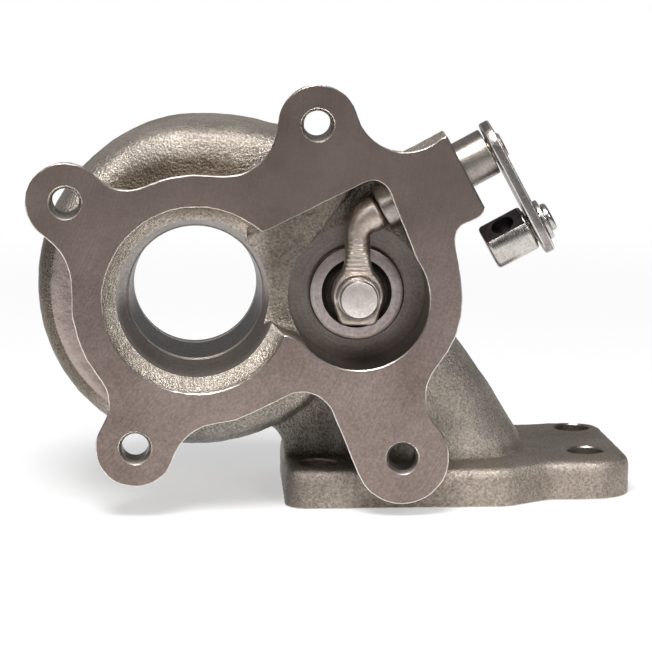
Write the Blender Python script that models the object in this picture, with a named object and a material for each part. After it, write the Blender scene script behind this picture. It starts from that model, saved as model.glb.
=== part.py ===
"""Turbine housing of a small wastegated turbocharger, in metres with +Z up.

The turbine axis runs along Y. The outlet flange faces -Y and the bearing side faces +Y.
The inlet foot stands on the ground at z = 0, with the origin under the middle of the part.
"""

import math

import bmesh
import bpy
from mathutils import Matrix, Vector

# Units: every size below is in millimetres, measured from the turbine axis and the outlet face
MM = 0.001
ARC_STEP = 12.0
FIT_GAP = 0.3
# How far a cutter runs past the face that it cuts
OVERCUT = 1.5
# The exact solver leaves open slivers where the casting's ways cross, so its cuts use the other one
CAST_SOLVER = "MANIFOLD"

# Outlet flange
FLANGE_THICK = 9.0
FLANGE_DRAFT = 1.0
FLANGE_BODY = (0.6, 0.0)
FLANGE_BODY_R = 33.0
LOBE_R = 10.7
LOW_LOBE_R = 12.6
OUTLET_DRILL = 7.0
OUTLET_CHAMFER = 8.9
OUTLET_HOLES = ((31.3, 45.0), (-33.1, 25.5), (-16.0, -38.4), (53.2, -41.8))
TOP_NOTCH_R = 13.0
LEFT_TOP_NOTCH_R = 10.0
LEFT_NOTCH_R = 15.0
LOW_LEFT_NOTCH_R = 10.0
LOW_NOTCH_R = 12.0
NECK_NOTCH = (27.2, -32.6)
NECK_NOTCH_R = 8.0
RIGHT_NOTCH_R = 11.7
BOSS_NOTCH = (73.4, 14.9)
BOSS_NOTCH_R = 6.5
BOSS_TOP_NOTCH_R = 12.6
CAST_CORNER_R = 1.2

# Turned passage through the turbine wheel's place
OUTLET_MOUTH_R = 24.15
CAST_BAND_R = 20.4
CAST_BAND_DEPTH = 8.0
CAST_BAND_STEP = 0.4
DIFFUSER_R = 19.6
DIFFUSER_END_R = 17.6
DIFFUSER_DEPTH = 14.4
EXDUCER_R = 16.25
EXDUCER_DEPTH = 30.0
SHROUD_START = 33.0
INDUCER_R = 19.6
NOZZLE_FRONT = 41.0
NOZZLE_WIDTH = 5.0
NOZZLE_OUTER_R = 31.0
NOZZLE_LEAD = 0.6
WHEEL_BORE_R = 27.5
REGISTER_R = 31.0
REGISTER_DEPTH = 4.0
REAR_FACE = 56.0
REAR_FLANGE_R = 38.0
REAR_FLANGE_THICK = 9.0
REAR_BOLT_CIRCLE_R = 34.5
REAR_BOLT_DRILL = 5.0
REAR_BOLT_DEPTH = 8.0
REAR_BOLTS = 6
NECK_R = 29.0
NECK_START = 3.0
NECK_STRAIGHT = 20.0

# Scroll, as the angle round the turbine axis in degrees and the casting's outer radius there
SCROLL_OUTER = (
    (15.0, 50.5),
    (34.0, 49.1),
    (90.0, 44.4),
    (135.0, 42.6),
    (180.0, 42.0),
    (270.0, 43.3),
    (330.0, 44.6),
)
SCROLL_FRONT = ((15.0, 13.0), (90.0, 14.0), (125.0, 18.0), (330.0, 18.0))
SCROLL_REAR = 51.0
SCROLL_CORE_R = 24.0
SCROLL_EDGE_R = 4.2
SCROLL_EDGE_DEPTH = 11.0
SCROLL_STEP = 9.0
GAS_WALL = 4.5
GAS_INNER_R = 26.5
GAS_THROAT_ANGLE = 34.0
GAS_END_ANGLE = 315.0
GAS_THROAT_HALF = 10.5
GAS_END_HALF = 3.6
GAS_REAR = 47.0

# Inlet foot
FOOT_THICK = 10.6
FOOT_FACE_DROP = 57.5
FOOT_LEFT = 23.0
FOOT_FRONT = 10.0
FOOT_LEFT_CORNER_R = 6.3
FOOT_STEP_FRONT = 17.5
FOOT_STEP_X = 79.0
FOOT_STEP_R = 10.0
FOOT_STEP_RUN = 1.75
FOOT_RIGHT = 116.7
FOOT_RIGHT_CORNER_R = 11.2
FOOT_REAR = 72.4
FOOT_EAR_R = 8.7
FOOT_BACK = 63.0
FOOT_BACK_CORNER_R = 8.0
FOOT_TOP_ROUND = 2.4
FOOT_HOLE = 10.0
FOOT_HOLES = ((105.3, 33.0), (105.7, 63.7), (32.3, 20.5))
PORT_CENTRE = (60.0, 42.0)
PORT_HALF_WIDTH = 18.0
PORT_HALF_DEPTH = 10.8

# Inlet duct, as the height over the turbine axis and the casting's sides there
DUCT_LEFT = FOOT_LEFT + 0.4
DUCT_SECTIONS = (
    # height, left, right, front, rear, left corner, right corner
    (-FOOT_FACE_DROP + 5.5, DUCT_LEFT, 89.2, 22.0, 59.5, 6.0, 17.0),
    (-FOOT_FACE_DROP + 11.5, DUCT_LEFT, 88.8, 22.6, 59.0, 6.0, 17.0),
    (-FOOT_FACE_DROP + 15.0, DUCT_LEFT - 0.8, 87.7, 24.0, 57.6, 5.0, 16.0),
    (-FOOT_FACE_DROP + 18.5, DUCT_LEFT - 3.6, 85.3, 24.4, 57.4, 5.0, 16.0),
    (-30.0, 18.6, 80.0, 24.2, 57.0, 5.0, 16.0),
    (-17.0, 17.0, 71.0, 22.5, 55.5, 6.0, 15.0),
    (0.0, 14.0, 59.2, 20.5, 53.5, 6.0, 14.0),
    (15.0, 9.0, 48.6, 20.0, 51.0, 6.0, 13.0),
    (24.0, 6.0, 40.5, 20.0, 49.0, 6.0, 12.0),
)
GAS_STATIONS = (
    # centre x, centre y, height, direction in degrees, half width, half depth, squareness
    (PORT_CENTRE[0], PORT_CENTRE[1], -FOOT_FACE_DROP - OVERCUT, 90.0, PORT_HALF_WIDTH, PORT_HALF_DEPTH, 3.4),
    (PORT_CENTRE[0] - 0.6, PORT_CENTRE[1], -FOOT_FACE_DROP + 12.5, 93.0, 17.5, PORT_HALF_DEPTH, 3.0),
    (53.5, 40.5, -26.0, 108.0, 14.0, 10.8, 2.5),
    (47.2, 37.6, -8.0, 120.0, 10.4, 11.0, 2.2),
    (39.6, 36.6, 4.6, 124.0, 9.2, 10.7, 2.0),
)
NUT_POCKET_RIGHT = 41.0
NUT_POCKET_BACK = 31.0
NUT_POCKET_TOP = -23.0
NUT_POCKET_CORNER_R = 5.0
NUT_POCKET_OVERRUN = 15.0

# Wastegate chamber and seat
VALVE_CENTRE = (42.0, -0.4)
CHAMBER_BODY_R = 27.0
CHAMBER_BODY_DEPTH = 22.0
CHAMBER_R = 18.2
CHAMBER_CORNER = (45.4, 26.3)
CHAMBER_CORNER_R = 4.2
CHAMBER_BORE_TOP = (14.0, 14.3)
CHAMBER_BORE_LOW = (15.0, -5.0)
CHAMBER_RIDGE = (24.3, -11.9)
CHAMBER_RIDGE_R = 2.4
CHAMBER_FLOOR = 10.5
CHAMBER_ARM_DEPTH = 15.2
SEAT_DEPTH = 16.0
SEAT_R = 17.6
WASTEGATE_PORT_R = 9.5

# Wastegate shaft: its axis crosses above the valve, level with the outlet face
SHAFT_TILT = 28.0
SHAFT_RISE = 19.3
SHAFT_DEPTH = 10.0
SHAFT_D = 7.0
BUSH_D = 12.6
BUSH_START = 6.9
BOSS_FACE = 30.5
BOSS_HALF_HEIGHT = 10.7
BUSH_STAND_OUT = 8.1
BUSH_EDGE = 0.5
LEVER_GAP = 0.6
LEVER_THICK = 2.7
LEVER_SHAFT_END_R = 7.4
LEVER_PIN_END_R = 8.2
LEVER_LENGTH = 22.5
SHAFT_END = 0.9
SHAFT_EDGE = 0.5

# Arm and valve
ARM_ROD_R = 4.5
ARM_ROD_SQUARENESS = 2.3
ARM_ELBOW_R = 5.8
ARM_ELBOW_RINGS = 5
ARM_SHOULDER_EDGE = 0.5
ARM_NECK = (
    # height over the valve's axis, half width, half depth, middle's depth
    (15.8, 2.8, 3.7, 9.6),
    (12.4, 2.8, 3.3, 9.0),
    (10.2, 2.8, 3.1, 8.8),
    (7.6, 2.5, 2.4, 8.7),
)
EYE_WIDTH = 13.0
EYE_RISE = 0.6
EYE_THICK = 5.6
EYE_FRONT = 5.9
EYE_DROP = 7.3
EYE_CORNER_R = 1.6
EYE_CORNER_OUT = 3.3
EYE_NECK_TOP = 10.5
EYE_NECK_R = 2.5
EYE_FLARE_R = 10.0
EYE_EDGE = 0.6
STUD_D = 6.4
VALVE_D = 25.0
VALVE_THICK = 2.5
VALVE_COLLAR_D = 13.4
VALVE_EDGE = 0.8
VALVE_COLLAR_EDGE = 0.4
STUD_HEAD_D = 9.6
STUD_HEAD_THICK = 2.8
STUD_HEAD_EDGE = 0.5
WASHER_D = 10.8
WASHER_THICK = 1.3

# Swivel block in the lever
BLOCK_D = 12.0
BLOCK_LENGTH = 12.0
BLOCK_EDGE = 0.6
BLOCK_COLLAR_D = 9.0
BLOCK_SHANK_D = 6.0
BLOCK_FLAT = 4.7
BLOCK_FLAT_TURN = 28.0
BLOCK_FLAT_MARGIN = 1.4
BLOCK_FLAT_CORNER_R = 0.5
BLOCK_HOLE = 6.1
PEEN_HEAD_D = 7.6
PEEN_HEAD_THICK = 1.4
PEEN_HEAD_EDGE = 0.7
LEVER_WASHER_D = 11.0
LEVER_WASHER_THICK = 1.1

# Worked out from the sizes above
SHAFT_ANGLE = math.radians(SHAFT_TILT)
SHAFT_DIRECTION = Vector((math.cos(SHAFT_ANGLE), 0.0, math.sin(SHAFT_ANGLE)))
SHAFT_START = Vector((VALVE_CENTRE[0], SHAFT_DEPTH, VALVE_CENTRE[1] + SHAFT_RISE))
SIDE = (OUTLET_HOLES[1][0] - LOBE_R, FOOT_RIGHT)
DATUM = Vector((-sum(SIDE) / 2, -FOOT_REAR / 2, FOOT_FACE_DROP))


def tangent_points(first, second):
    """Where a belt leaves the first pulley and meets the second; a negative radius bends it inwards."""
    gap = second[0] - first[0]
    distance = gap.length
    along = gap / distance
    across = Vector((-along.y, along.x))
    cosine = max(-1.0, min(1.0, (second[1] - first[1]) / distance))
    normal = along * cosine + across * math.sqrt(1.0 - cosine * cosine)
    return first[0] - normal * first[1], second[0] - normal * second[1]


def notch_centre(first, second, radius):
    """The centre of a concave arc that touches two circles from the right of the way between them."""
    gap = second[0] - first[0]
    distance = gap.length
    near = first[1] + radius
    far = second[1] + radius
    along = (near * near - far * far + distance * distance) / (2 * distance)
    across = math.sqrt(max(near * near - along * along, 0.0))
    unit = gap / distance
    return first[0] + unit * along + Vector((unit.y, -unit.x)) * across


def belt(*pulleys):
    """A closed outline round circles, anticlockwise, where a bare number is a concave arc between two."""
    count = len(pulleys)
    wheels = []
    for index, pulley in enumerate(pulleys):
        if isinstance(pulley, tuple):
            wheels.append((Vector(pulley[0]), pulley[1]))
            continue
        before, after = pulleys[index - 1], pulleys[(index + 1) % count]
        centre = notch_centre((Vector(before[0]), before[1]), (Vector(after[0]), after[1]), pulley)
        wheels.append((centre, -pulley))
    points = []
    for index, (centre, radius) in enumerate(wheels):
        arrive = tangent_points(wheels[index - 1], (centre, radius))[1] - centre
        leave = tangent_points((centre, radius), wheels[(index + 1) % count])[0] - centre
        start = math.atan2(arrive.y, arrive.x)
        turn = (math.atan2(leave.y, leave.x) - start) * math.copysign(1.0, radius) % math.tau
        if turn > math.tau - 0.01:
            turn = 0.0
        steps = max(1, math.ceil(math.degrees(turn) / ARC_STEP))
        for step in range(steps + 1):
            angle = start + math.copysign(turn, radius) * step / steps
            points.append(centre + abs(radius) * Vector((math.cos(angle), math.sin(angle))))
    return without_doubles(points)


def without_doubles(points):
    return [point for index, point in enumerate(points) if (point - points[index - 1]).length > 0.02]


def interpolate(table, place):
    """A smooth value between the rows (place, value) of a table."""
    if place <= table[0][0]:
        return table[0][1]
    for (low, first), (high, second) in zip(table, table[1:]):
        if place <= high:
            share = (place - low) / (high - low)
            return first + (second - first) * share * share * (3 - 2 * share)
    return table[-1][1]


def rounded(left, right, front, rear, left_r, right_r, corner_steps=5):
    """A rounded rectangle in plan, with its own corner radius at each end."""
    corners = (
        (left + left_r, front + left_r, left_r, 180.0),
        (right - right_r, front + right_r, right_r, 270.0),
        (right - right_r, rear - right_r, right_r, 0.0),
        (left + left_r, rear - left_r, left_r, 90.0),
    )
    points = []
    for x, y, radius, start in corners:
        for step in range(corner_steps + 1):
            angle = math.radians(start + 90.0 * step / corner_steps)
            points.append(Vector((x + radius * math.cos(angle), y + radius * math.sin(angle))))
    return points


def material(name, colour, roughness, metallic=1.0):
    made = bpy.data.materials.new(name)
    made.use_nodes = True
    shader = made.node_tree.nodes["Principled BSDF"]
    shader.inputs["Base Color"].default_value = (*colour, 1.0)
    shader.inputs["Roughness"].default_value = roughness
    shader.inputs["Metallic"].default_value = metallic
    return made


def empty(name, parent=None, frame=Matrix()):
    """An empty at a joint or datum; its frame is in millimetres inside its parent's."""
    made = bpy.data.objects.new(name, None)
    made.empty_display_size = 0.01
    bpy.context.scene.collection.objects.link(made)
    place(made, parent, frame)
    return made


def place(made, parent, frame):
    made.parent = parent
    local = frame.copy()
    local.translation = frame.translation * MM
    made.matrix_local = local


def solid(name, shape, parent, frame=Matrix(), finish=None):
    """Makes an object of a bmesh in millimetres. Without a finish it is a helper for a Boolean."""
    bmesh.ops.recalc_face_normals(shape, faces=shape.faces)
    bmesh.ops.triangulate(shape, faces=shape.faces)
    bmesh.ops.scale(shape, vec=(MM, MM, MM), verts=shape.verts)
    mesh = bpy.data.meshes.new(name)
    shape.to_mesh(mesh)
    shape.free()
    made = bpy.data.objects.new(name, mesh)
    bpy.context.scene.collection.objects.link(made)
    place(made, parent, frame)
    if finish:
        mesh.materials.append(finish)
        mesh.shade_smooth()
        mesh.set_sharp_from_angle(angle=math.radians(35))
    else:
        made.hide_render = True
        made.display_type = "WIRE"
    return made


def combine(target, other, operation, solver):
    modifier = target.modifiers.new(operation.lower() + " " + other.name, "BOOLEAN")
    modifier.operation = operation
    modifier.solver = solver
    modifier.object = other


def join(target, *others, solver="EXACT"):
    for other in others:
        combine(target, other, "UNION", solver)


def cut(target, *others, solver="EXACT"):
    for other in others:
        combine(target, other, "DIFFERENCE", solver)


def extruded(outline, start, end, axis="Y"):
    """A flat outline pushed along an axis. For Y it is drawn in X and Z, and for Z in X and Y."""
    shape = bmesh.new()
    if axis == "Y":
        corners = [shape.verts.new((point.x, start, point.y)) for point in outline]
        push = Vector((0.0, end - start, 0.0))
    else:
        corners = [shape.verts.new((point.x, point.y, start)) for point in outline]
        push = Vector((0.0, 0.0, end - start))
    face = shape.faces.new(corners)
    grown = bmesh.ops.extrude_face_region(shape, geom=[face])["geom"]
    moved = [item for item in grown if isinstance(item, bmesh.types.BMVert)]
    bmesh.ops.translate(shape, vec=push, verts=moved)
    return shape


def turned(profile, steps=32, axis="Z"):
    """A profile of (radius, place) spun round an axis. One that ends on the axis is closed there."""
    shape = bmesh.new()
    upright = axis == "Z"
    points = [(radius, 0.0, along) if upright else (radius, along, 0.0) for radius, along in profile]
    corners = [shape.verts.new(point) for point in points]
    sides = [shape.edges.new(pair) for pair in zip(corners, corners[1:])]
    if profile[0][0] > 0.0:
        sides.append(shape.edges.new((corners[-1], corners[0])))
    spin_axis = (0.0, 0.0, 1.0) if upright else (0.0, 1.0, 0.0)
    bmesh.ops.spin(
        shape,
        geom=corners + sides,
        cent=(0.0, 0.0, 0.0),
        axis=spin_axis,
        angle=math.tau,
        steps=steps,
        use_merge=True,
    )
    bmesh.ops.remove_doubles(shape, verts=shape.verts, dist=0.001)
    return shape


def lofted(rings):
    """A skin through rings of points, closed by a face at each end."""
    shape = bmesh.new()
    loops = [[shape.verts.new(point) for point in ring] for ring in rings]
    for lower, upper in zip(loops, loops[1:]):
        for index in range(len(lower)):
            shape.faces.new((lower[index - 1], lower[index], upper[index], upper[index - 1]))
    shape.faces.new(loops[0])
    shape.faces.new(loops[-1])
    return shape


def axis_frame(origin, direction, front=Vector((0.0, -1.0, 0.0))):
    """A frame whose Z runs along a direction and whose Y looks away from the front."""
    z = direction.normalized()
    x = (-front).cross(z).normalized()
    y = z.cross(x)
    rotation = Matrix((x, y, z)).transposed().to_4x4()
    return Matrix.Translation(origin) @ rotation


def along_shaft(distance, drop=0.0):
    """A point of the outlet plane's XZ, so far along the shaft and so far below its axis."""
    down = Vector((SHAFT_DIRECTION.z, -SHAFT_DIRECTION.x))
    start = Vector((SHAFT_START.x, SHAFT_START.z))
    return start + Vector((SHAFT_DIRECTION.x, SHAFT_DIRECTION.z)) * distance + down * drop


def flange_outline(draft=0.0):
    """Four lobes round the bolt holes, joined by the turbine's body, the chamber's body and the shaft boss.

    Draft draws the whole outline in, evenly, for the side that faces away from the outlet.
    """
    top, left, low, right = OUTLET_HOLES
    body = (FLANGE_BODY, FLANGE_BODY_R - draft)
    inset = BOSS_FACE - CAST_CORNER_R
    reach = BOSS_HALF_HEIGHT - CAST_CORNER_R
    corner = CAST_CORNER_R - draft
    return belt(
        (top, LOBE_R - draft),
        TOP_NOTCH_R + draft,
        body,
        LEFT_TOP_NOTCH_R + draft,
        (left, LOBE_R - draft),
        LEFT_NOTCH_R + draft,
        body,
        LOW_LEFT_NOTCH_R + draft,
        (low, LOBE_R - draft),
        LOW_NOTCH_R + draft,
        body,
        (NECK_NOTCH, -NECK_NOTCH_R - draft),
        (right, LOW_LOBE_R - draft),
        RIGHT_NOTCH_R + draft,
        (VALVE_CENTRE, CHAMBER_BODY_R - draft),
        (BOSS_NOTCH, -BOSS_NOTCH_R - draft),
        (along_shaft(inset, reach), corner),
        (along_shaft(inset, -reach), corner),
        BOSS_TOP_NOTCH_R + draft,
    )


def flange_shape():
    """The outlet flange, drafted as a casting is, from its milled face to its rear."""
    front = [(point.x, 0.0, point.y) for point in flange_outline()]
    rear = [(point.x, FLANGE_THICK, point.y) for point in flange_outline(FLANGE_DRAFT)]
    return lofted([front, rear])


def boss_shape():
    """The round boss behind the flange that carries the shaft's bush, drawn in the shaft's own frame."""
    clip = SHAFT_DEPTH - FIT_GAP
    start = -math.asin(clip / BOSS_HALF_HEIGHT)
    turn = math.pi - 2 * start
    steps = math.ceil(math.degrees(turn) / ARC_STEP)
    outline = []
    for step in range(steps + 1):
        angle = start + turn * step / steps
        outline.append(BOSS_HALF_HEIGHT * Vector((math.cos(angle), math.sin(angle))))
    return extruded(outline, BUSH_START, BOSS_FACE - FIT_GAP, "Z")


def chamber_body_outline():
    """The wall round the wastegate's chamber, seen from the front."""
    wall = CHAMBER_BODY_R - FLANGE_DRAFT - FIT_GAP
    return belt((VALVE_CENTRE, wall), (CHAMBER_CORNER, 2 * CHAMBER_CORNER_R))


def chamber_outline():
    return belt(
        (VALVE_CENTRE, CHAMBER_R),
        (CHAMBER_CORNER, CHAMBER_CORNER_R),
        (CHAMBER_BORE_TOP, CAST_CORNER_R),
        (CHAMBER_BORE_LOW, CAST_CORNER_R),
        (CHAMBER_RIDGE, -CHAMBER_RIDGE_R),
    )


def arm_space_outline():
    """The deeper part of the chamber, which holds the valve, its arm and the shaft's inner end."""
    return belt((VALVE_CENTRE, SEAT_R - FIT_GAP), (CHAMBER_CORNER, CHAMBER_CORNER_R - FIT_GAP))


def foot_outline():
    ear, rear_ear = FOOT_HOLES[0], FOOT_HOLES[1]
    return belt(
        ((FOOT_LEFT + FOOT_LEFT_CORNER_R, FOOT_FRONT + FOOT_LEFT_CORNER_R), FOOT_LEFT_CORNER_R),
        ((FOOT_STEP_X, FOOT_FRONT + FOOT_STEP_R), FOOT_STEP_R),
        ((FOOT_STEP_X + FOOT_STEP_RUN * FOOT_STEP_R, FOOT_STEP_FRONT - FOOT_STEP_R), -FOOT_STEP_R),
        ((FOOT_RIGHT - FOOT_RIGHT_CORNER_R, FOOT_STEP_FRONT + FOOT_RIGHT_CORNER_R), FOOT_RIGHT_CORNER_R),
        (rear_ear, FOOT_EAR_R),
        ((FOOT_LEFT + FOOT_BACK_CORNER_R, FOOT_BACK - FOOT_BACK_CORNER_R), FOOT_BACK_CORNER_R),
    )


def foot_shape():
    """The foot's plate, with the cast round along its upper edge."""
    top = -FOOT_FACE_DROP + FOOT_THICK
    shape = extruded(foot_outline(), -FOOT_FACE_DROP, top, "Z")
    edges = [edge for edge in shape.edges if all(abs(corner.co.z - top) < 0.01 for corner in edge.verts)]
    bmesh.ops.bevel(shape, geom=edges, offset=FOOT_TOP_ROUND, segments=3, profile=0.5, affect="EDGES")
    return shape


def scroll_ring(angle):
    """The scroll casting's section at an angle round the turbine axis."""
    outer = interpolate(SCROLL_OUTER, angle)
    front = interpolate(SCROLL_FRONT, angle)
    section = [(SCROLL_CORE_R, front)]
    for step in range(6):
        turn = math.radians(90.0 * step / 5)
        radius = outer - SCROLL_EDGE_R * (1 - math.sin(turn))
        section.append((radius, front + SCROLL_EDGE_DEPTH * (1 - math.cos(turn))))
    for step in range(5):
        turn = math.radians(90.0 * step / 4)
        radius = outer - SCROLL_EDGE_DEPTH / 2 * (1 - math.cos(turn))
        section.append((radius, SCROLL_REAR - SCROLL_EDGE_DEPTH / 2 * (1 - math.sin(turn))))
    section.append((SCROLL_CORE_R, SCROLL_REAR))
    return around_axis(section, angle)


def around_axis(section, angle):
    turn = math.radians(angle)
    return [(radius * math.cos(turn), depth, radius * math.sin(turn)) for radius, depth in section]


def scroll_shape():
    first, last = SCROLL_OUTER[0][0], SCROLL_OUTER[-1][0]
    count = round((last - first) / SCROLL_STEP)
    return lofted([scroll_ring(first + (last - first) * step / count) for step in range(count + 1)])


def duct_shape():
    rings = []
    for height, left, right, front, rear, left_r, right_r in DUCT_SECTIONS:
        plan = rounded(left, right, front, rear, left_r, right_r)
        rings.append([(point.x, point.y, height) for point in plan])
    return lofted(rings)


def super_ellipse(half_width, half_depth, power, steps=24):
    points = []
    for step in range(steps):
        angle = math.tau * step / steps
        cosine, sine = math.cos(angle), math.sin(angle)
        across = math.copysign(abs(cosine) ** (2 / power), cosine) * half_width
        deep = math.copysign(abs(sine) ** (2 / power), sine) * half_depth
        points.append((across, deep))
    return points


def gas_ring(centre, direction, half_width, half_depth, power):
    """A ring of the gas way, square to its direction in the XZ plane."""
    turn = math.radians(direction - 90.0)
    across = Vector((math.cos(turn), 0.0, math.sin(turn)))
    deep = Vector((0.0, 1.0, 0.0))
    middle = Vector(centre)
    return [middle + across * x + deep * y for x, y in super_ellipse(half_width, half_depth, power)]


def gas_shape():
    """The gas way: from the port in the foot up the duct and round the scroll, narrowing to its end."""
    rings = []
    for x, y, z, direction, half_width, half_depth, power in GAS_STATIONS:
        rings.append(gas_ring((x, y, z), direction, half_width, half_depth, power))
    count = round((GAS_END_ANGLE - GAS_THROAT_ANGLE) / SCROLL_STEP)
    for step in range(count + 1):
        angle = GAS_THROAT_ANGLE + (GAS_END_ANGLE - GAS_THROAT_ANGLE) * step / count
        outer = interpolate(SCROLL_OUTER, angle) - GAS_WALL
        half_depth = GAS_THROAT_HALF + (GAS_END_HALF - GAS_THROAT_HALF) * step / count
        middle = (outer + GAS_INNER_R) / 2
        turn = math.radians(angle)
        centre = (middle * math.cos(turn), GAS_REAR - half_depth, middle * math.sin(turn))
        rings.append(gas_ring(centre, angle + 90.0, (outer - GAS_INNER_R) / 2, half_depth, 2.0))
    return lofted(rings)


def bore_shape():
    """The turned way through the housing, from the outlet mouth to the bearing side's register."""
    band = []
    for step in range(6):
        share = step / 5
        narrowing = (OUTLET_MOUTH_R - CAST_BAND_R) * (1 - math.sqrt(1 - share * share))
        band.append((OUTLET_MOUTH_R - narrowing, CAST_BAND_DEPTH * math.sin(math.pi / 2 * share)))
    shroud = []
    for step in range(5):
        turn = math.radians(90.0 * step / 4)
        radius = EXDUCER_R + (INDUCER_R - EXDUCER_R) * (1 - math.cos(turn))
        shroud.append((radius, SHROUD_START + (NOZZLE_FRONT - SHROUD_START) * math.sin(turn)))
    nozzle_rear = NOZZLE_FRONT + NOZZLE_WIDTH
    profile = [(0.0, -OVERCUT), (OUTLET_MOUTH_R, -OVERCUT)]
    profile += band
    profile += [(DIFFUSER_R, CAST_BAND_DEPTH + CAST_BAND_STEP), (DIFFUSER_END_R, DIFFUSER_DEPTH)]
    profile += [(EXDUCER_R, EXDUCER_DEPTH)]
    profile += shroud
    profile += [(NOZZLE_OUTER_R, NOZZLE_FRONT + NOZZLE_LEAD), (NOZZLE_OUTER_R, nozzle_rear)]
    profile += [(WHEEL_BORE_R, nozzle_rear)]
    profile += [(WHEEL_BORE_R, REAR_FACE - REGISTER_DEPTH), (REGISTER_R, REAR_FACE - REGISTER_DEPTH)]
    profile += [(REGISTER_R, REAR_FACE + OVERCUT), (0.0, REAR_FACE + OVERCUT)]
    return turned(profile, 48, "Y")


def outlet_hole_shape():
    """A tapped hole's drill and its countersink, run right through the lobe."""
    lead = (OUTLET_CHAMFER - OUTLET_DRILL) / 2
    profile = [(0.0, -OVERCUT), (OUTLET_CHAMFER / 2 + OVERCUT, -OVERCUT), (OUTLET_DRILL / 2, lead)]
    profile += [(OUTLET_DRILL / 2, FLANGE_THICK + OVERCUT), (0.0, FLANGE_THICK + OVERCUT)]
    return turned(profile, 24, "Y")


def hole_profile(radius, start, end):
    return [(0.0, start), (radius, start), (radius, end), (0.0, end)]


def raw_casting(parent, finish):
    """Flange, chamber body, scroll, duct, foot and bearing flange, joined in one."""
    housing = solid("turbine_housing", flange_shape(), parent, finish=finish)
    chamber_plan = chamber_body_outline()
    chamber_body = solid("chamber body", extruded(chamber_plan, FLANGE_THICK / 2, CHAMBER_BODY_DEPTH), parent)
    boss = solid("shaft boss", boss_shape(), parent, axis_frame(SHAFT_START, SHAFT_DIRECTION))
    neck_profile = [(0.0, NECK_START), (NECK_R, NECK_START), (NECK_R, NECK_STRAIGHT)]
    neck_profile += [(REAR_FLANGE_R, REAR_FACE - REAR_FLANGE_THICK), (REAR_FLANGE_R, REAR_FACE)]
    neck_profile += [(0.0, REAR_FACE)]
    neck = solid("turned body", turned(neck_profile, 48, "Y"), parent)
    scroll = solid("scroll body", scroll_shape(), parent)
    duct = solid("duct body", duct_shape(), parent)
    pocket_plan = rounded(
        FOOT_LEFT - NUT_POCKET_OVERRUN,
        NUT_POCKET_RIGHT,
        FOOT_FRONT - NUT_POCKET_OVERRUN,
        NUT_POCKET_BACK,
        NUT_POCKET_CORNER_R,
        NUT_POCKET_CORNER_R,
    )
    pocket = solid("nut pocket", extruded(pocket_plan, -FOOT_FACE_DROP, NUT_POCKET_TOP, "Z"), parent)
    cut(duct, pocket)
    foot = solid("foot plate", foot_shape(), parent)
    join(housing, chamber_body, boss, neck, scroll, duct, foot)
    return housing


def core(housing, parent):
    """Cuts the turned way, the wastegate's chamber and port, the gas way and the bush's bore."""
    at_valve = Matrix.Translation((VALVE_CENTRE[0], 0.0, VALVE_CENTRE[1]))
    bore = solid("turned way", bore_shape(), parent)
    chamber = solid("chamber cut", extruded(chamber_outline(), -OVERCUT, CHAMBER_FLOOR), parent)
    arm_space = extruded(arm_space_outline(), CHAMBER_FLOOR / 2, CHAMBER_ARM_DEPTH)
    arm_space = solid("arm space", arm_space, parent)
    seat_profile = hole_profile(SEAT_R, CHAMBER_FLOOR / 2, SEAT_DEPTH)
    seat = solid("seat cut", turned(seat_profile, 40, "Y"), parent, at_valve)
    gas = solid("gas way", gas_shape(), parent)
    port_profile = hole_profile(WASTEGATE_PORT_R, SEAT_DEPTH - OVERCUT, GAS_REAR - GAS_THROAT_HALF)
    port = solid("wastegate port", turned(port_profile, 32, "Y"), parent, at_valve)
    bush_profile = hole_profile(BUSH_D / 2 + FIT_GAP, 0.0, BOSS_FACE + OVERCUT)
    bush_frame = axis_frame(SHAFT_START, SHAFT_DIRECTION)
    bush_hole = solid("bush bore", turned(bush_profile, 28), parent, bush_frame)
    cut(housing, bore, chamber, arm_space, seat, gas, port, bush_hole, solver=CAST_SOLVER)


def drill(housing, parent):
    """Cuts the outlet flange's, the foot's and the bearing flange's holes."""
    for x, z in OUTLET_HOLES:
        where = Matrix.Translation((x, 0.0, z))
        cut(housing, solid("outlet hole", outlet_hole_shape(), parent, where), solver=CAST_SOLVER)
    foot_profile = hole_profile(FOOT_HOLE / 2, -OVERCUT, FOOT_THICK + OVERCUT)
    for x, y in FOOT_HOLES:
        where = Matrix.Translation((x, y, -FOOT_FACE_DROP))
        cut(housing, solid("foot hole", turned(foot_profile, 24), parent, where), solver=CAST_SOLVER)
    bolt_profile = hole_profile(REAR_BOLT_DRILL / 2, REAR_FACE - REAR_BOLT_DEPTH, REAR_FACE + OVERCUT)
    for index in range(REAR_BOLTS):
        turn = math.tau * (index + 0.5) / REAR_BOLTS
        x, z = REAR_BOLT_CIRCLE_R * math.cos(turn), REAR_BOLT_CIRCLE_R * math.sin(turn)
        where = Matrix.Translation((x, 0.0, z))
        bolt_hole = solid("bearing bolt hole", turned(bolt_profile, 16, "Y"), parent, where)
        cut(housing, bolt_hole, solver=CAST_SOLVER)


def make_housing(parent, finish):
    """One casting: joined from its main forms, then cored and machined."""
    housing = raw_casting(parent, finish)
    core(housing, parent)
    drill(housing, parent)
    return housing


def make_bush(parent, finish):
    outer = BUSH_D / 2
    inner = SHAFT_D / 2 + FIT_GAP
    end = BOSS_FACE + BUSH_STAND_OUT
    profile = [(inner, BUSH_START), (outer - BUSH_EDGE, BUSH_START), (outer, BUSH_START + BUSH_EDGE)]
    profile += [(outer, end - BUSH_EDGE), (outer - BUSH_EDGE, end), (inner, end)]
    along_axis = axis_frame(SHAFT_START, SHAFT_DIRECTION)
    return solid("wastegate_bush", turned(profile, 32), parent, along_axis, finish)


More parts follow.
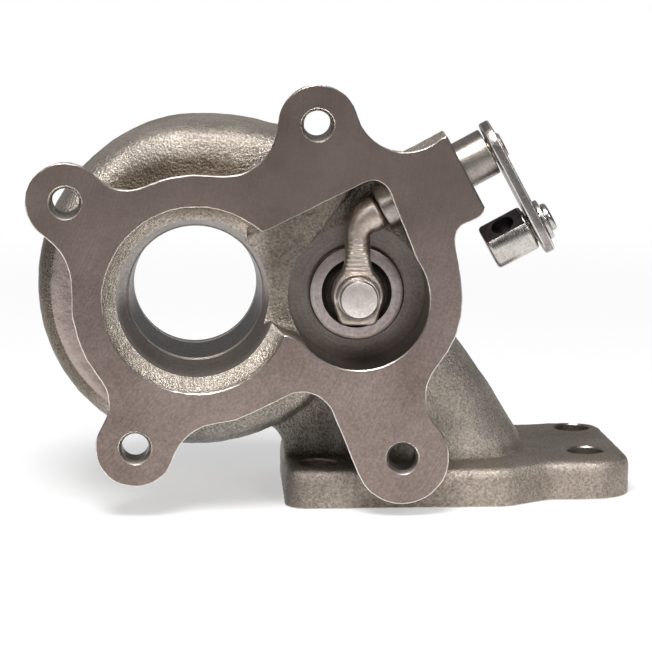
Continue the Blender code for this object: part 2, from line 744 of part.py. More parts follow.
def rod_ring(middle, outward, half_width, half_depth):
    """A round section of the arm's rod, square to the way that it runs in the XZ plane."""
    across = Vector((outward.x, 0.0, outward.y))
    deep = Vector((0.0, 1.0, 0.0))
    section = super_ellipse(half_width, half_depth, ARM_ROD_SQUARENESS)
    return [middle + across * x + deep * y for x, y in section]


def rod_shape(shoulder):
    """The forged rod: out of the shaft's shoulder, round the elbow and down the neck into the eye."""
    turn = math.pi / 2 - SHAFT_ANGLE
    reach = ARM_ELBOW_R * math.tan(turn / 2)
    outward = Vector((-SHAFT_DIRECTION.z, SHAFT_DIRECTION.x))
    rings = []
    for distance, radius in (
        (shoulder, ARM_ROD_R - ARM_SHOULDER_EDGE),
        (shoulder - ARM_SHOULDER_EDGE, ARM_ROD_R),
        (reach, ARM_ROD_R),
    ):
        rings.append(rod_ring(SHAFT_START + SHAFT_DIRECTION * distance, outward, radius, radius))
    elbow = Vector((SHAFT_START.x + ARM_ELBOW_R, 0.0, SHAFT_START.z - reach))
    width, thick, depth = ARM_NECK[0][1:]
    for step in range(1, ARM_ELBOW_RINGS):
        share = step / ARM_ELBOW_RINGS
        angle = math.pi / 2 + SHAFT_ANGLE + turn * share
        outward = Vector((math.cos(angle), math.sin(angle)))
        middle = elbow + Vector((outward.x, 0.0, outward.y)) * ARM_ELBOW_R
        middle.y = SHAFT_DEPTH + (depth - SHAFT_DEPTH) * share
        half_width = ARM_ROD_R + (width - ARM_ROD_R) * share
        half_depth = ARM_ROD_R + (thick - ARM_ROD_R) * share
        rings.append(rod_ring(middle, outward, half_width, half_depth))
    outward = Vector((-1.0, 0.0))
    for height, half_width, half_depth, depth in ARM_NECK:
        middle = Vector((VALVE_CENTRE[0], depth, VALVE_CENTRE[1] + height))
        rings.append(rod_ring(middle, outward, half_width, half_depth))
    return lofted(rings)


def eye_shape():
    """The eye that holds the valve's stud: flat at its foot, flared into the neck, its front edge broken."""
    x, z = VALVE_CENTRE
    foot = z - EYE_DROP + EYE_CORNER_R
    ring = ((x, z + EYE_RISE), EYE_WIDTH / 2)
    outline = belt(
        ((x - EYE_CORNER_OUT, foot), EYE_CORNER_R),
        ((x + EYE_CORNER_OUT, foot), EYE_CORNER_R),
        ring,
        EYE_FLARE_R,
        ((x, z + EYE_NECK_TOP), EYE_NECK_R),
        EYE_FLARE_R,
        ring,
    )
    shape = extruded(outline, EYE_FRONT, EYE_FRONT + EYE_THICK)
    front = {corner for corner in shape.verts if abs(corner.co.y - EYE_FRONT) < 0.01}
    edges = [edge for edge in shape.edges if front.issuperset(edge.verts)]
    bmesh.ops.bevel(shape, geom=edges, offset=EYE_EDGE, segments=2, profile=0.5, affect="EDGES")
    return shape


def make_arm(hinge, finish):
    """Shaft and arm forged in one, with the eye that holds the valve's stud."""
    shaft_end = BOSS_FACE + BUSH_STAND_OUT + LEVER_GAP + LEVER_THICK + SHAFT_END
    radius = SHAFT_D / 2
    shoulder = BUSH_START - FIT_GAP
    profile = [(0.0, shoulder - ARM_ROD_R / 2), (radius, shoulder - ARM_ROD_R / 2)]
    profile += [(radius, shaft_end - SHAFT_EDGE), (radius - SHAFT_EDGE, shaft_end), (0.0, shaft_end)]
    arm = solid("wastegate_arm", turned(profile, 28), hinge, finish=finish)
    to_housing = axis_frame(SHAFT_START, SHAFT_DIRECTION).inverted()
    rod = solid("arm rod", rod_shape(shoulder), hinge, to_housing)
    eye = solid("arm eye", eye_shape(), hinge, to_housing)
    eye_rear = EYE_FRONT + EYE_THICK
    stud_profile = hole_profile(STUD_D / 2 + FIT_GAP, EYE_FRONT - OVERCUT, eye_rear + OVERCUT)
    at_valve = to_housing @ Matrix.Translation((VALVE_CENTRE[0], 0.0, VALVE_CENTRE[1]))
    stud_hole = solid("stud hole", turned(stud_profile, 28, "Y"), hinge, at_valve)
    join(arm, rod, eye)
    cut(arm, stud_hole)
    return arm


def make_lever(hinge, finish):
    """The crank lever: a flat plate with one end on the shaft and one on the swivel block."""
    inner = BOSS_FACE + BUSH_STAND_OUT + LEVER_GAP
    outline = belt(((0.0, 0.0), LEVER_SHAFT_END_R), ((LEVER_LENGTH, 0.0), LEVER_PIN_END_R))
    lever = solid("crank_lever", extruded(outline, inner, inner + LEVER_THICK, "Z"), hinge, finish=finish)
    for radius, x in ((SHAFT_D / 2 + FIT_GAP, 0.0), (BLOCK_SHANK_D / 2 + FIT_GAP, LEVER_LENGTH)):
        hole = hole_profile(radius, inner - OVERCUT, inner + LEVER_THICK + OVERCUT)
        cut(lever, solid("lever hole", turned(hole, 28), hinge, Matrix.Translation((x, 0.0, 0.0))))
    return lever


def make_valve(spin, finish):
    """The valve's disc, collar and stud with its riveted head, turned in one. Z runs towards the seat."""
    back = SEAT_DEPTH - FIT_GAP
    front = back - VALVE_THICK
    collar = EYE_FRONT + EYE_THICK + FIT_GAP
    head_back = EYE_FRONT - 2 * FIT_GAP - WASHER_THICK
    head_front = head_back - STUD_HEAD_THICK
    head_r, disc_r, collar_r, stud_r = STUD_HEAD_D / 2, VALVE_D / 2, VALVE_COLLAR_D / 2, STUD_D / 2
    profile = [(0.0, head_front), (head_r - STUD_HEAD_EDGE, head_front)]
    profile += [(head_r, head_front + STUD_HEAD_EDGE), (head_r, head_back)]
    profile += [(stud_r, head_back), (stud_r, collar)]
    profile += [(collar_r - VALVE_COLLAR_EDGE, collar), (collar_r, collar + VALVE_COLLAR_EDGE)]
    profile += [(collar_r, front), (disc_r - VALVE_EDGE, front), (disc_r, front + VALVE_EDGE)]
    profile += [(disc_r, back), (0.0, back)]
    return solid("valve_flap", turned(profile, 40), spin, finish=finish)


def make_valve_washer(spin, finish):
    back = EYE_FRONT - FIT_GAP
    inner = STUD_D / 2 + FIT_GAP
    outer = WASHER_D / 2
    profile = [(inner, back - WASHER_THICK), (outer, back - WASHER_THICK), (outer, back), (inner, back)]
    return solid("valve_washer", turned(profile, 32), spin, finish=finish)


def make_swivel(pin, finish, washer_finish):
    """The block that takes the actuator's rod, with the shank that is peened over a washer on the lever."""
    lever_inner = BOSS_FACE + BUSH_STAND_OUT + LEVER_GAP
    lever_outer = lever_inner + LEVER_THICK
    block_end = lever_inner - LEVER_GAP
    block_start = block_end - BLOCK_LENGTH
    washer_start = lever_outer + FIT_GAP
    head_start = washer_start + LEVER_WASHER_THICK + FIT_GAP
    head_end = head_start + PEEN_HEAD_THICK
    radius, shank, head = BLOCK_D / 2, BLOCK_SHANK_D / 2, PEEN_HEAD_D / 2
    profile = [(0.0, block_start), (radius - BLOCK_EDGE, block_start), (radius, block_start + BLOCK_EDGE)]
    profile += [(radius, block_end - BLOCK_EDGE), (radius - BLOCK_EDGE, block_end)]
    profile += [(BLOCK_COLLAR_D / 2, block_end), (BLOCK_COLLAR_D / 2, lever_inner - FIT_GAP)]
    profile += [(shank, lever_inner - FIT_GAP), (shank, head_start)]
    profile += [(head, head_start), (head, head_end - PEEN_HEAD_EDGE), (head - PEEN_HEAD_EDGE, head_end)]
    profile += [(0.0, head_end)]
    block = solid("swivel_block", turned(profile, 32), pin, finish=finish)
    middle = (block_start + block_end) / 2
    turn = Matrix.Rotation(math.radians(BLOCK_FLAT_TURN), 4, "Z")
    flat_turn = Matrix.Translation((0.0, 0.0, middle)) @ turn
    corner = BLOCK_FLAT_CORNER_R
    flat_plan = rounded(-BLOCK_D, -BLOCK_FLAT, -radius - OVERCUT, radius + OVERCUT, corner, corner, 1)
    reach = BLOCK_LENGTH / 2 - BLOCK_FLAT_MARGIN
    flat = solid("block flat", extruded(flat_plan, -reach, reach, "Z"), pin, flat_turn)
    hole = hole_profile(BLOCK_HOLE / 2, -BLOCK_D, BLOCK_D)
    across = flat_turn @ Matrix.Rotation(math.radians(90.0), 4, "Y")
    rod_hole = solid("rod hole", turned(hole, 28), pin, across)
    cut(block, flat, rod_hole)
    inner = shank + FIT_GAP
    washer_end = washer_start + LEVER_WASHER_THICK
    washer_r = LEVER_WASHER_D / 2
    washer = [(inner, washer_start), (washer_r, washer_start), (washer_r, washer_end), (inner, washer_end)]
    solid("swivel_washer", turned(washer, 32), pin, finish=washer_finish)
    return block


def main():
    for item in list(bpy.data.objects):
        bpy.data.objects.remove(item)
    cast_iron = material("cast heat-resistant iron", (0.21, 0.19, 0.165), 0.62)
    bush_steel = material("turned steel bush", (0.47, 0.46, 0.45), 0.32)
    forged_steel = material("forged steel arm", (0.36, 0.34, 0.32), 0.45)
    valve_steel = material("turned steel valve", (0.40, 0.37, 0.34), 0.40)
    lever_steel = material("stamped steel lever", (0.52, 0.52, 0.52), 0.35)
    block_steel = material("turned steel block", (0.46, 0.45, 0.44), 0.33)
    washer_steel = material("steel washer", (0.50, 0.49, 0.48), 0.36)
    datum = empty("turbine axis at the outlet face", frame=Matrix.Translation(DATUM))
    hinge = empty("wastegate shaft axis", datum, axis_frame(SHAFT_START, SHAFT_DIRECTION))
    to_hinge = axis_frame(SHAFT_START, SHAFT_DIRECTION).inverted()
    valve_point = Vector((VALVE_CENTRE[0], 0.0, VALVE_CENTRE[1]))
    valve_frame = axis_frame(valve_point, Vector((0.0, 1.0, 0.0)), Vector((0.0, 0.0, -1.0)))
    valve_axis = empty("valve stud axis", hinge, to_hinge @ valve_frame)
    pin_axis = empty("swivel pin axis", hinge, Matrix.Translation((LEVER_LENGTH, 0.0, 0.0)))
    make_housing(datum, cast_iron)
    make_bush(datum, bush_steel)
    make_arm(hinge, forged_steel)
    make_lever(hinge, lever_steel)
    make_valve(valve_axis, valve_steel)
    make_valve_washer(valve_axis, washer_steel)
    make_swivel(pin_axis, block_steel, washer_steel)


main()
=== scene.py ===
import math

import bpy
from mathutils import Matrix, Vector


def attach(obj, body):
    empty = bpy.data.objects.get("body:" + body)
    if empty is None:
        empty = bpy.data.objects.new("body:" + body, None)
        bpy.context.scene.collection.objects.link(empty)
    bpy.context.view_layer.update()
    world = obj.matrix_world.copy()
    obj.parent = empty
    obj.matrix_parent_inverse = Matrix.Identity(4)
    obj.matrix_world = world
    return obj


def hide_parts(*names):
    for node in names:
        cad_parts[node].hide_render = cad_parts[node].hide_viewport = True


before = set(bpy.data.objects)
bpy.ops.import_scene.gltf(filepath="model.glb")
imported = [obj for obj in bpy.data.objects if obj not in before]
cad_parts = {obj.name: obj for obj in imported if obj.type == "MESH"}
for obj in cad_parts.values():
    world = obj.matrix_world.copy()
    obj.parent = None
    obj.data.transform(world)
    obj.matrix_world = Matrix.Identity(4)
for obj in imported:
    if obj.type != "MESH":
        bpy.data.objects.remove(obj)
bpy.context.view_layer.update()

# Lengths are in millimetres, from the turbine axis at the outlet face, where no comment says otherwise.
# A profile is a row of (depth along its axis, radius)
MM = 0.001
DATUM = Vector((-36.45, -36.2, 57.5))
# What lies this near to a flat face belongs to it
NEAR = 0.02

# The casting before it is machined
VOXEL = 0.82
STOCK = 1.6
SKIN_SMOOTHING = 4
VOLUTE_SMOOTHING = 45
CAST_TRIANGLES = 180000
# Lumps, as (size, height), of the mould's sand and of the shot
CAST_LUMPS = ((5.5, 0.32), (1.7, 0.22))
EDGE_BREAK = 0.27
VOLUTE_DEPTHS = (10.5, 50.0)
VOLUTE_INNER_R = 36.5
VOLUTE_RIGHT = 22.0
VOLUTE_BOTTOM = -46.0

# Outlet side
OUTLET_R = 20.75
COUNTERBORE = ((-4.0, OUTLET_R), (7.0, 20.4), (8.4, 19.9), (14.4, 17.75))
OUTLET_LEAD = ((14.0, 17.98), (15.0, 17.18))
SHOULDER_CENTRE = (0.7, -0.2)
SHOULDER_DEPTH = 3.4
SHOULDER_OUTER_R = 27.0
SHOULDER_END = 8.0
HOLES = ((31.3, 45.0), (-33.1, 25.5), (-16.0, -38.4), (53.2, -41.8))
HOLE_DRILL = 7.0
HOLE_SINK = 8.5
HOLE_LEAD = 2.2
HOLE_PLUG_R = 6.3
FLANGE_THICK = 9.0
# The face mill stands out here, so that its wide arcs cross the outlet face from the upper left
MILL_CENTRE = (-120.0, 58.0)

# The lathe's way through the turbine wheel's place
DIFFUSER_START = 13.0
DIFFUSER_R = 17.6
THROAT_START = 30.0
THROAT_END = 33.0
THROAT_R = 16.25
# A thin band of the edge tone in the throat: a painted highlight line
THROAT_LINE = ((30.4, 16.3), (33.2, 16.3))
SHROUD_DEPTH = 8.0
SHROUD_RISE = 3.35
SHROUD_STEPS = 8
NOZZLE_FRONT = 41.05
NOZZLE_REAR = 46.0
NOZZLE_R = 31.0
WHEEL_R = 27.5
REGISTER_START = 52.0
REGISTER_R = 31.0

# Inlet foot and bearing side
FOOT_FACE = -57.5
FOOT_THICK = 10.6
FOOT_HOLES = ((105.3, 33.0), (105.7, 63.7), (32.3, 20.5))
FOOT_DRILL = 10.0
FOOT_PLUG_R = 6.0
REAR_FACE = 56.0
REAR_MILL_R = 39.3
REAR_CIRCLE = 34.5
REAR_DRILL = 5.0
REAR_SCREWS = 6

# Wastegate
VALVE = (42.0, -0.4)
SEAT_DEPTH = 16.0
SEAT_R = 18.1
ARM_SPACE_DEPTH = 15.2
POCKET_R = 18.2
CORNER = (45.4, 26.3)
CORNER_R = 3.9
SHAFT_TILT = math.radians(28.0)
SHAFT_START = (42.0, 10.0, 18.9)
BOSS_FACE = 30.5
BUSH_START = 6.9
BUSH_END = 38.6
BUSH_R = 6.3
BUSH_BORE_R = 3.8
SHAFT_R = 3.5
ARM_VOXEL = 0.3
ARM_LUMP = (2.6, 0.16)
ARM_TRIANGLES = 90000
LEVER_INNER = 39.2
LEVER_THICK = 2.7
LEVER_LENGTH = 22.5
LEVER_END_RS = (7.4, 8.2)
PIN_HOLE_R = 3.3
# The washers, as (start, end, hole's radius, radius)
VALVE_WASHER = (4.3, 5.6, 3.5, 5.4)
PIN_WASHER = (42.2, 43.3, 3.3, 5.5)

# The flange's corner under the boss, which is pulled out and down and then rounded by three flat cuts
BOSS_CORNER = (73.6, 24.2)
BOSS_CORNER_R = 1.3
BOSS_CORNER_PULL = (0.8, 0.0, -1.8)
BOSS_CORNER_REACH = 9.0
TIP = (72.25, 23.15)
TIP_R = 1.65
TIP_TURNS = (-8.0, 14.0, 36.0)

# Plugs, as (start, end, radius, centre, sides). The tools open the first four again, in the bore, the
# nozzle, the register and the pocket, so that each cut starts from a full skin. The last one stays, and
# fills a low patch of the chamber's floor
PLUGS = (
    (10.6, 42.5, 20.6, (0.0, 0.0), 48),
    (41.5, 48.5, 28.8, (0.0, 0.0), 48),
    (47.6, REAR_FACE + STOCK, 37.5, (0.0, 0.0), 64),
    (11.4, 17.0, 18.8, VALVE, 48),
    (10.6, 15.0, 4.6, (24.5, 20.0), 24),
)

# The valve's turned profiles
STUD_HEAD = (
    (1.2, 1.2), (1.2, 4.45), (1.28, 4.65), (1.5, 4.8), (1.85, 4.9), (2.2, 4.95), (3.4, 4.95),
    (4.0, 4.8), (4.0, 3.2), (11.8, 3.2),
)
DISC = (
    (11.8, 6.3), (12.1, 6.65), (14.0, 6.8), (14.3, 7.3), (14.1, 8.1), (13.6, 8.7), (13.2, 9.2),
    (13.2, 11.6), (13.35, 12.1), (13.75, 12.4), (14.2, 12.5), (15.3, 12.5), (15.7, 12.1),
)
# Where the groove round the collar takes painted shade, under the arm's eye
SHADED_DISH_RADII = (6.6, 9.0)
SHADED_DISH_DEPTHS = (12.2, 15.0)

# The swivel block's turned body, and its shank with the place of its riveted head
BLOCK_START = 26.6
BLOCK_R = 6.0
SHANK = ((38.6, 4.5), (38.9, 4.5), (38.9, 3.0), (43.6, 3.0), (43.6, 3.7), (43.75, 3.8))
PIN_END = 45.0
PIN_HEAD_R = 3.8
BLOCK_MIDDLE = 32.6
BLOCK_TURN = math.radians(28.0)
BLOCK_DRILL_R = 3.05

# What most of a noise texture lies between
NOISE_LOW = 0.32
NOISE_HIGH = 0.68
# Zones are in metres, as rows of (way, edge, inside). R is the distance from the turbine axis.
# The skin that a wheel dressed
DRESSED = (
    ("R", 0.0380, 0.0376),
    ("X", -0.009, -0.013),
    ("Y", 0.0225, 0.0205),
    ("Y", 0.0120, 0.0140),
    ("Z", 0.015, 0.012),
)
# The arm's neck, by its height over the ground
NECK = (("Z", 0.0625, 0.0645), ("Z", 0.073, 0.0705))
# Painted shade on the cast skin, and a darker tone on the foot's sides: a darkening colour and its zone
PAINTED_SHADES_AND_DARKER_FOOT = (
    # Painted shade in the pocket above the foot, beside the duct, where the flange keeps the light out
    ("#c4c8cc", (("X", 0.060, 0.056), ("Z", -0.030, -0.040), ("Y", 0.009, 0.014), ("Y", 0.040, 0.030))),
    # Painted shade in the valve's chamber
    (
        "#bbb9b5",
        (
            ("X", 0.016, 0.020), ("X", 0.060, 0.058), ("Z", 0.030, 0.029), ("Z", -0.020, -0.018),
            ("Y", 0.003, 0.006), ("Y", 0.020, 0.016),
        ),
    ),
    # Painted shade in the hollow behind the outlet flange
    ("#b2aaa0", (("R", 0.0378, 0.0342), ("Y", 0.022, 0.018), ("Z", 0.020, 0.026), ("X", 0.034, 0.030))),
    # Painted shade on the scroll's left rim, the side that the light hardly reaches
    ("#a7a29c", (("R", 0.0376, 0.0380), ("X", -0.022, -0.028), ("Z", 0.022, 0.015), ("Y", 0.030, 0.024))),
    # The foot's sides all round, a tone darker, and painted shade on its upper face, under the duct and the
    # flange
    ("#dcd8d5", (("Z", -0.0475, -0.0500),)),
    ("#dedbd8", (("Z", -0.0440, -0.0460), ("Z", -0.0482, -0.0472))),
)

# The studio, in metres and watts
FLOOR_SIZE = 14.0
TARGET = (0.0, 0.0, 0.055)
SOFTBOXES = (
    ("key softbox", (-0.12, -0.5, 0.86), 0.42, 11.0),
    ("left softbox", (-0.45, -0.8, 0.45), 0.25, 0.8),
    ("right softbox", (0.42, -0.8, 0.5), 0.25, 2.2),
)
CAMERA_PLACE = (-0.04076, -0.79485, 0.18162)
CAMERA_DROP = math.radians(9.7779)
CAMERA_TURN = math.radians(-2.8397)
CAMERA_LENS = 165.64
WHITE = (1.0, 1.0, 1.0, 1.0)


def clear_selection():
    if bpy.context.mode != "OBJECT":
        bpy.ops.object.mode_set(mode="OBJECT")
    bpy.ops.object.select_all(action="DESELECT")


def pick(*objects):
    clear_selection()
    for item in objects:
        item.select_set(True)
    bpy.context.view_layer.objects.active = objects[-1]
    return objects[-1]


def select(obj, mode, wanted):
    """In edit mode, picks what wanted() accepts of the corners, by place, or of the faces."""
    bpy.ops.object.mode_set(mode="EDIT")
    bpy.ops.mesh.select_mode(type=mode)
    bpy.ops.mesh.select_all(action="DESELECT")
    bpy.ops.object.mode_set(mode="OBJECT")
    for item in obj.data.vertices if mode == "VERT" else obj.data.polygons:
        item.select = wanted(item)
    bpy.ops.object.mode_set(mode="EDIT")


def modify(obj, kind, **settings):
    """Adds a modifier with its settings and applies it."""
    pick(obj)
    modifier = obj.modifiers.new(kind.lower(), kind)
    for name, value in settings.items():
        setattr(modifier, name, value)
    bpy.ops.object.modifier_apply(modifier=modifier.name)


def settle(obj, frame_mm=Matrix()):
    """Puts a piece that was modelled in millimetres in its place, in metres, with the scene's origin."""
    pick(obj)
    obj.matrix_world = Matrix.Scale(MM, 4) @ Matrix.Translation(DATUM) @ frame_mm
    bpy.ops.object.transform_apply(location=True, rotation=True, scale=True)
    return obj


def along_y(x=0.0, z=0.0):
    """A frame whose Z looks into the part, away from the outlet face."""
    return Matrix.Translation((x, 0.0, z)) @ Matrix.Rotation(math.radians(-90.0), 4, "X")


def shaft_way():
    """The way that the wastegate shaft points, out of the casting."""
    return Vector((math.cos(SHAFT_TILT), 0.0, math.sin(SHAFT_TILT)))


def shaft_frame(reach=0.0):
    """A frame whose Z runs out along the wastegate shaft and whose X points to the swivel pin."""
    z = shaft_way()
    y = Vector((0.0, 1.0, 0.0))
    upright = Matrix((y.cross(z), y, z)).transposed().to_4x4()
    return Matrix.Translation(SHAFT_START) @ upright @ Matrix.Translation((reach, 0.0, 0.0))


def turned(name, stations, frame_mm, material, segments=96):
    """A disc drawn out along the axis, station by station, as (place, radius)."""
    clear_selection()
    place, radius = stations[0]
    centre = (0.0, 0.0, 0.0)
    bpy.ops.mesh.primitive_circle_add(vertices=segments, radius=radius, fill_type="NGON", location=centre)
    obj = bpy.context.object
    obj.name = name
    bpy.ops.object.mode_set(mode="EDIT")
    bpy.ops.mesh.select_all(action="SELECT")
    bpy.ops.transform.translate(value=(0.0, 0.0, place))
    for next_place, next_radius in stations[1:]:
        bpy.ops.mesh.extrude_region_move(TRANSFORM_OT_translate={"value": (0.0, 0.0, next_place - place)})
        share = next_radius / radius
        bpy.ops.transform.resize(value=(share, share, 1.0), center_override=(0.0, 0.0, next_place))
        place, radius = next_place, next_radius
    bpy.ops.mesh.select_all(action="SELECT")
    bpy.ops.mesh.normals_make_consistent(inside=False)
    bpy.ops.object.mode_set(mode="OBJECT")
    obj.data.materials.append(material)
    return settle(obj, frame_mm)


def rounding(place, radius, edge, up=True, steps=4):
    """Stations that round off a turned edge: the end of the piece if up, and otherwise its start."""
    made = []
    for step in range(steps + 1):
        angle = math.pi / 2 * step / steps
        across, along = edge * (1 - math.cos(angle)), edge * (1 - math.sin(angle))
        made.append((place - along, radius - across) if up else (place + along, radius - across))
    return made if up else made[::-1]


def block(name, low, high, frame_mm, material):
    clear_selection()
    middle = [(a + b) / 2 for a, b in zip(low, high)]
    bpy.ops.mesh.primitive_cube_add(size=1.0, location=(0.0, 0.0, 0.0))
    obj = bpy.context.object
    obj.name = name
    bpy.ops.object.mode_set(mode="EDIT")
    bpy.ops.transform.resize(value=[b - a for a, b in zip(low, high)])
    bpy.ops.transform.translate(value=middle)
    bpy.ops.object.mode_set(mode="OBJECT")
    obj.data.materials.append(material)
    return settle(obj, frame_mm)


def strap(name, first_r, second, second_r, low, high, frame_mm, material, steps=48):
    """A plate with two round ends, the first round the frame's axis: its outline is drawn and pushed up."""
    far = Vector(second)
    way = math.atan2(far.y, far.x)
    lean = math.acos((first_r - second_r) / far.length)
    points = []
    for centre, radius, start, turn in (
        (far, second_r, way - lean, 2 * lean),
        (Vector((0.0, 0.0)), first_r, way + lean, math.tau - 2 * lean),
    ):
        for step in range(steps + 1):
            angle = start + turn * step / steps
            points.append((centre.x + radius * math.cos(angle), centre.y + radius * math.sin(angle), low))
    mesh = bpy.data.meshes.new(name)
    mesh.from_pydata(points, [], [range(len(points))])
    obj = bpy.data.objects.new(name, mesh)
    bpy.context.scene.collection.objects.link(obj)
    pick(obj)
    bpy.ops.object.mode_set(mode="EDIT")
    bpy.ops.mesh.select_all(action="SELECT")
    bpy.ops.mesh.extrude_region_move(TRANSFORM_OT_translate={"value": (0.0, 0.0, high - low)})
    bpy.ops.mesh.select_all(action="SELECT")
    bpy.ops.mesh.normals_make_consistent(inside=False)
    bpy.ops.object.mode_set(mode="OBJECT")
    mesh.materials.append(material)
    return settle(obj, frame_mm)


def cut(target, *cutters):
    """Machines the target with each cutter, whose material stays on the cut, and throws the cutters away."""
    for cutter in cutters:
        pick(target)
        modifier = target.modifiers.new("cut", "BOOLEAN")
        modifier.operation = "DIFFERENCE"
        modifier.solver = "MANIFOLD"
        modifier.object = cutter
        modifier.material_mode = "TRANSFER"
        bpy.ops.object.modifier_apply(modifier=modifier.name)
        bpy.data.objects.remove(cutter)
    return target


def soften(obj, angle=32.0):
    """Smooth shading, with the lines that turn sharper than the angle kept crisp."""
    pick(obj)
    bpy.ops.object.shade_smooth_by_angle(angle=math.radians(angle))
    return obj


def colour(text):
    """An sRGB hex value as Blender's linear colour."""
    linear = []
    for index in (1, 3, 5):
        part = int(text[index:index + 2], 16) / 255
        linear.append(part / 12.92 if part <= 0.04045 else ((part + 0.055) / 1.055) ** 2.4)
    return (*linear, 1.0)


def add_node(tree, kind, inputs=None, **settings):
    """Adds a node with its settings. An input takes a value, an output, or a node for its output in use."""
    made = tree.nodes.new("ShaderNode" + kind)
    for name, value in settings.items():
        setattr(made, name, value)
    for name, value in (inputs or {}).items():
        if isinstance(value, bpy.types.Node):
            value = next(output for output in value.outputs if output.enabled)
        if isinstance(value, bpy.types.NodeSocket):
            tree.links.new(value, made.inputs[name])
        else:
            made.inputs[name].default_value = value
    return made


def per_mm(size):
    """The scale of a pattern whose cells are so many millimetres wide."""
    return 1000.0 / size


def new_material(name):
    """An empty material, its tree and the place on the piece, in the scene's metres."""
    made = bpy.data.materials.new(name)
    made.use_nodes = True
    made.node_tree.nodes.clear()
    return made, made.node_tree, add_node(made.node_tree, "TexCoord").outputs["Object"]


def two_tones(tree, pattern, dark, light):
    """A tone that runs from dark to light as the pattern does."""
    share = add_node(tree, "MapRange", {0: pattern, 1: NOISE_LOW, 2: NOISE_HIGH, 3: 0.0, 4: 1.0})
    return add_node(tree, "Mix", {0: share, 6: colour(dark), 7: colour(light)}, data_type="RGBA")


def tinted(tree, tone, pattern, low, high):
    """A tone that the pattern darkens and lightens, from low to high times itself."""
    share = add_node(tree, "MapRange", {0: pattern, 1: NOISE_LOW, 2: NOISE_HIGH, 3: low, 4: high})
    return add_node(tree, "Mix", {0: 1.0, 6: tone, 7: share}, data_type="RGBA", blend_type="MULTIPLY")


def radius_of(tree, place, across):
    """How far a place is from the origin, in the directions that across counts."""
    flat = add_node(tree, "VectorMath", {0: place, 1: across}, operation="MULTIPLY")
    return add_node(tree, "VectorMath", {0: flat}, operation="LENGTH")


def lathe_place(tree, place, axis_mm, along_share=1.0):
    """Coordinates that run out from an axis and along it, so that a pattern goes round as tool marks do."""
    axis = Matrix.Translation(DATUM) @ axis_mm
    inputs = {"Vector": place, "Location": axis.translation * MM, "Rotation": axis.to_euler()}
    local = add_node(tree, "Mapping", inputs, vector_type="TEXTURE")
    depth = add_node(tree, "SeparateXYZ", {0: local}).outputs["Z"]
    along = add_node(tree, "Math", {0: depth, 1: along_share}, operation="MULTIPLY")
    return add_node(tree, "CombineXYZ", {"X": radius_of(tree, local, (1.0, 1.0, 0.0)), "Z": along})


def zone_share(tree, values, zone):
    """How much a place belongs to a zone, whose rows are (way, edge, inside)."""
    share = 1.0
    for way, edge, inside in zone:
        near = add_node(tree, "MapRange", {0: values[way], 1: edge, 2: inside, 3: 0.0, 4: 1.0})
        share = add_node(tree, "Math", {0: share, 1: near}, operation="MULTIPLY")
    return share


def finish_metal(made, tree, tone, gloss, relief):
    inputs = {"Base Color": tone, "Metallic": 1.0, "Roughness": gloss, "Normal": relief}
    add_node(tree, "OutputMaterial", {"Surface": add_node(tree, "BsdfPrincipled", inputs)})
    return made


def cast_iron():
    """Ductile iron, sand cast and shot blasted: coarse grain whose pits are dark and whose facets glint."""
    made, tree, place = new_material("Shot-blasted cast iron")
    # The shot's pits are about 0.4 mm wide, and are drawn at 0.64 mm so that they show
    shot = {"Vector": place, "Scale": per_mm(0.64), "Detail": 3.0, "Roughness": 0.7}
    shot = add_node(tree, "TexNoise", shot)
    sand = {"Vector": place, "Scale": per_mm(2.2), "Detail": 2.0, "Roughness": 0.55}
    sand = add_node(tree, "TexNoise", sand)
    patch = {"Vector": place, "Scale": per_mm(15.0), "Detail": 3.0, "Roughness": 0.55}
    patch = add_node(tree, "TexNoise", patch)
    tone = tinted(tree, two_tones(tree, patch, "#b0a69c", "#cfc5b9"), shot, 0.6, 1.32)
    # A band on the volute's front was dressed with a wheel, and is smoother and pinker
    centre = add_node(tree, "VectorMath", {0: place, 1: DATUM * MM}, operation="SUBTRACT")
    values = {"R": radius_of(tree, centre, (1.0, 0.0, 1.0))}
    parts = add_node(tree, "SeparateXYZ", {0: centre}).outputs
    for way in "XYZ":
        values[way] = parts[way]
    dressed = zone_share(tree, values, DRESSED)
    tone = add_node(tree, "Mix", {0: dressed, 6: tone, 7: colour("#b5a69f")}, data_type="RGBA")
    # Painted shade darkens the pocket, the chamber, the hollow behind the flange, the scroll's left rim and
    # the foot's upper face, and the foot's sides are a tone darker
    for shade, zone in PAINTED_SHADES_AND_DARKER_FOOT:
        inputs = {0: 1.0, 6: tone, 7: colour(shade)}
        darker = add_node(tree, "Mix", inputs, data_type="RGBA", blend_type="MULTIPLY")
        share = zone_share(tree, values, zone)
        tone = add_node(tree, "Mix", {0: share, 6: tone, 7: darker}, data_type="RGBA")
    gloss = add_node(tree, "MapRange", {0: shot, 1: NOISE_LOW, 2: NOISE_HIGH, 3: 0.54, 4: 0.36})
    grain = add_node(tree, "MapRange", {0: dressed, 1: 0.0, 2: 1.0, 3: 1.0, 4: 0.1})
    relief = add_node(tree, "Bump", {"Height": sand, "Strength": 0.4, "Distance": 0.5 * MM})
    relief = {"Height": shot, "Strength": grain, "Distance": 0.42 * MM, "Normal": relief}
    return finish_metal(made, tree, tone, gloss, add_node(tree, "Bump", relief))


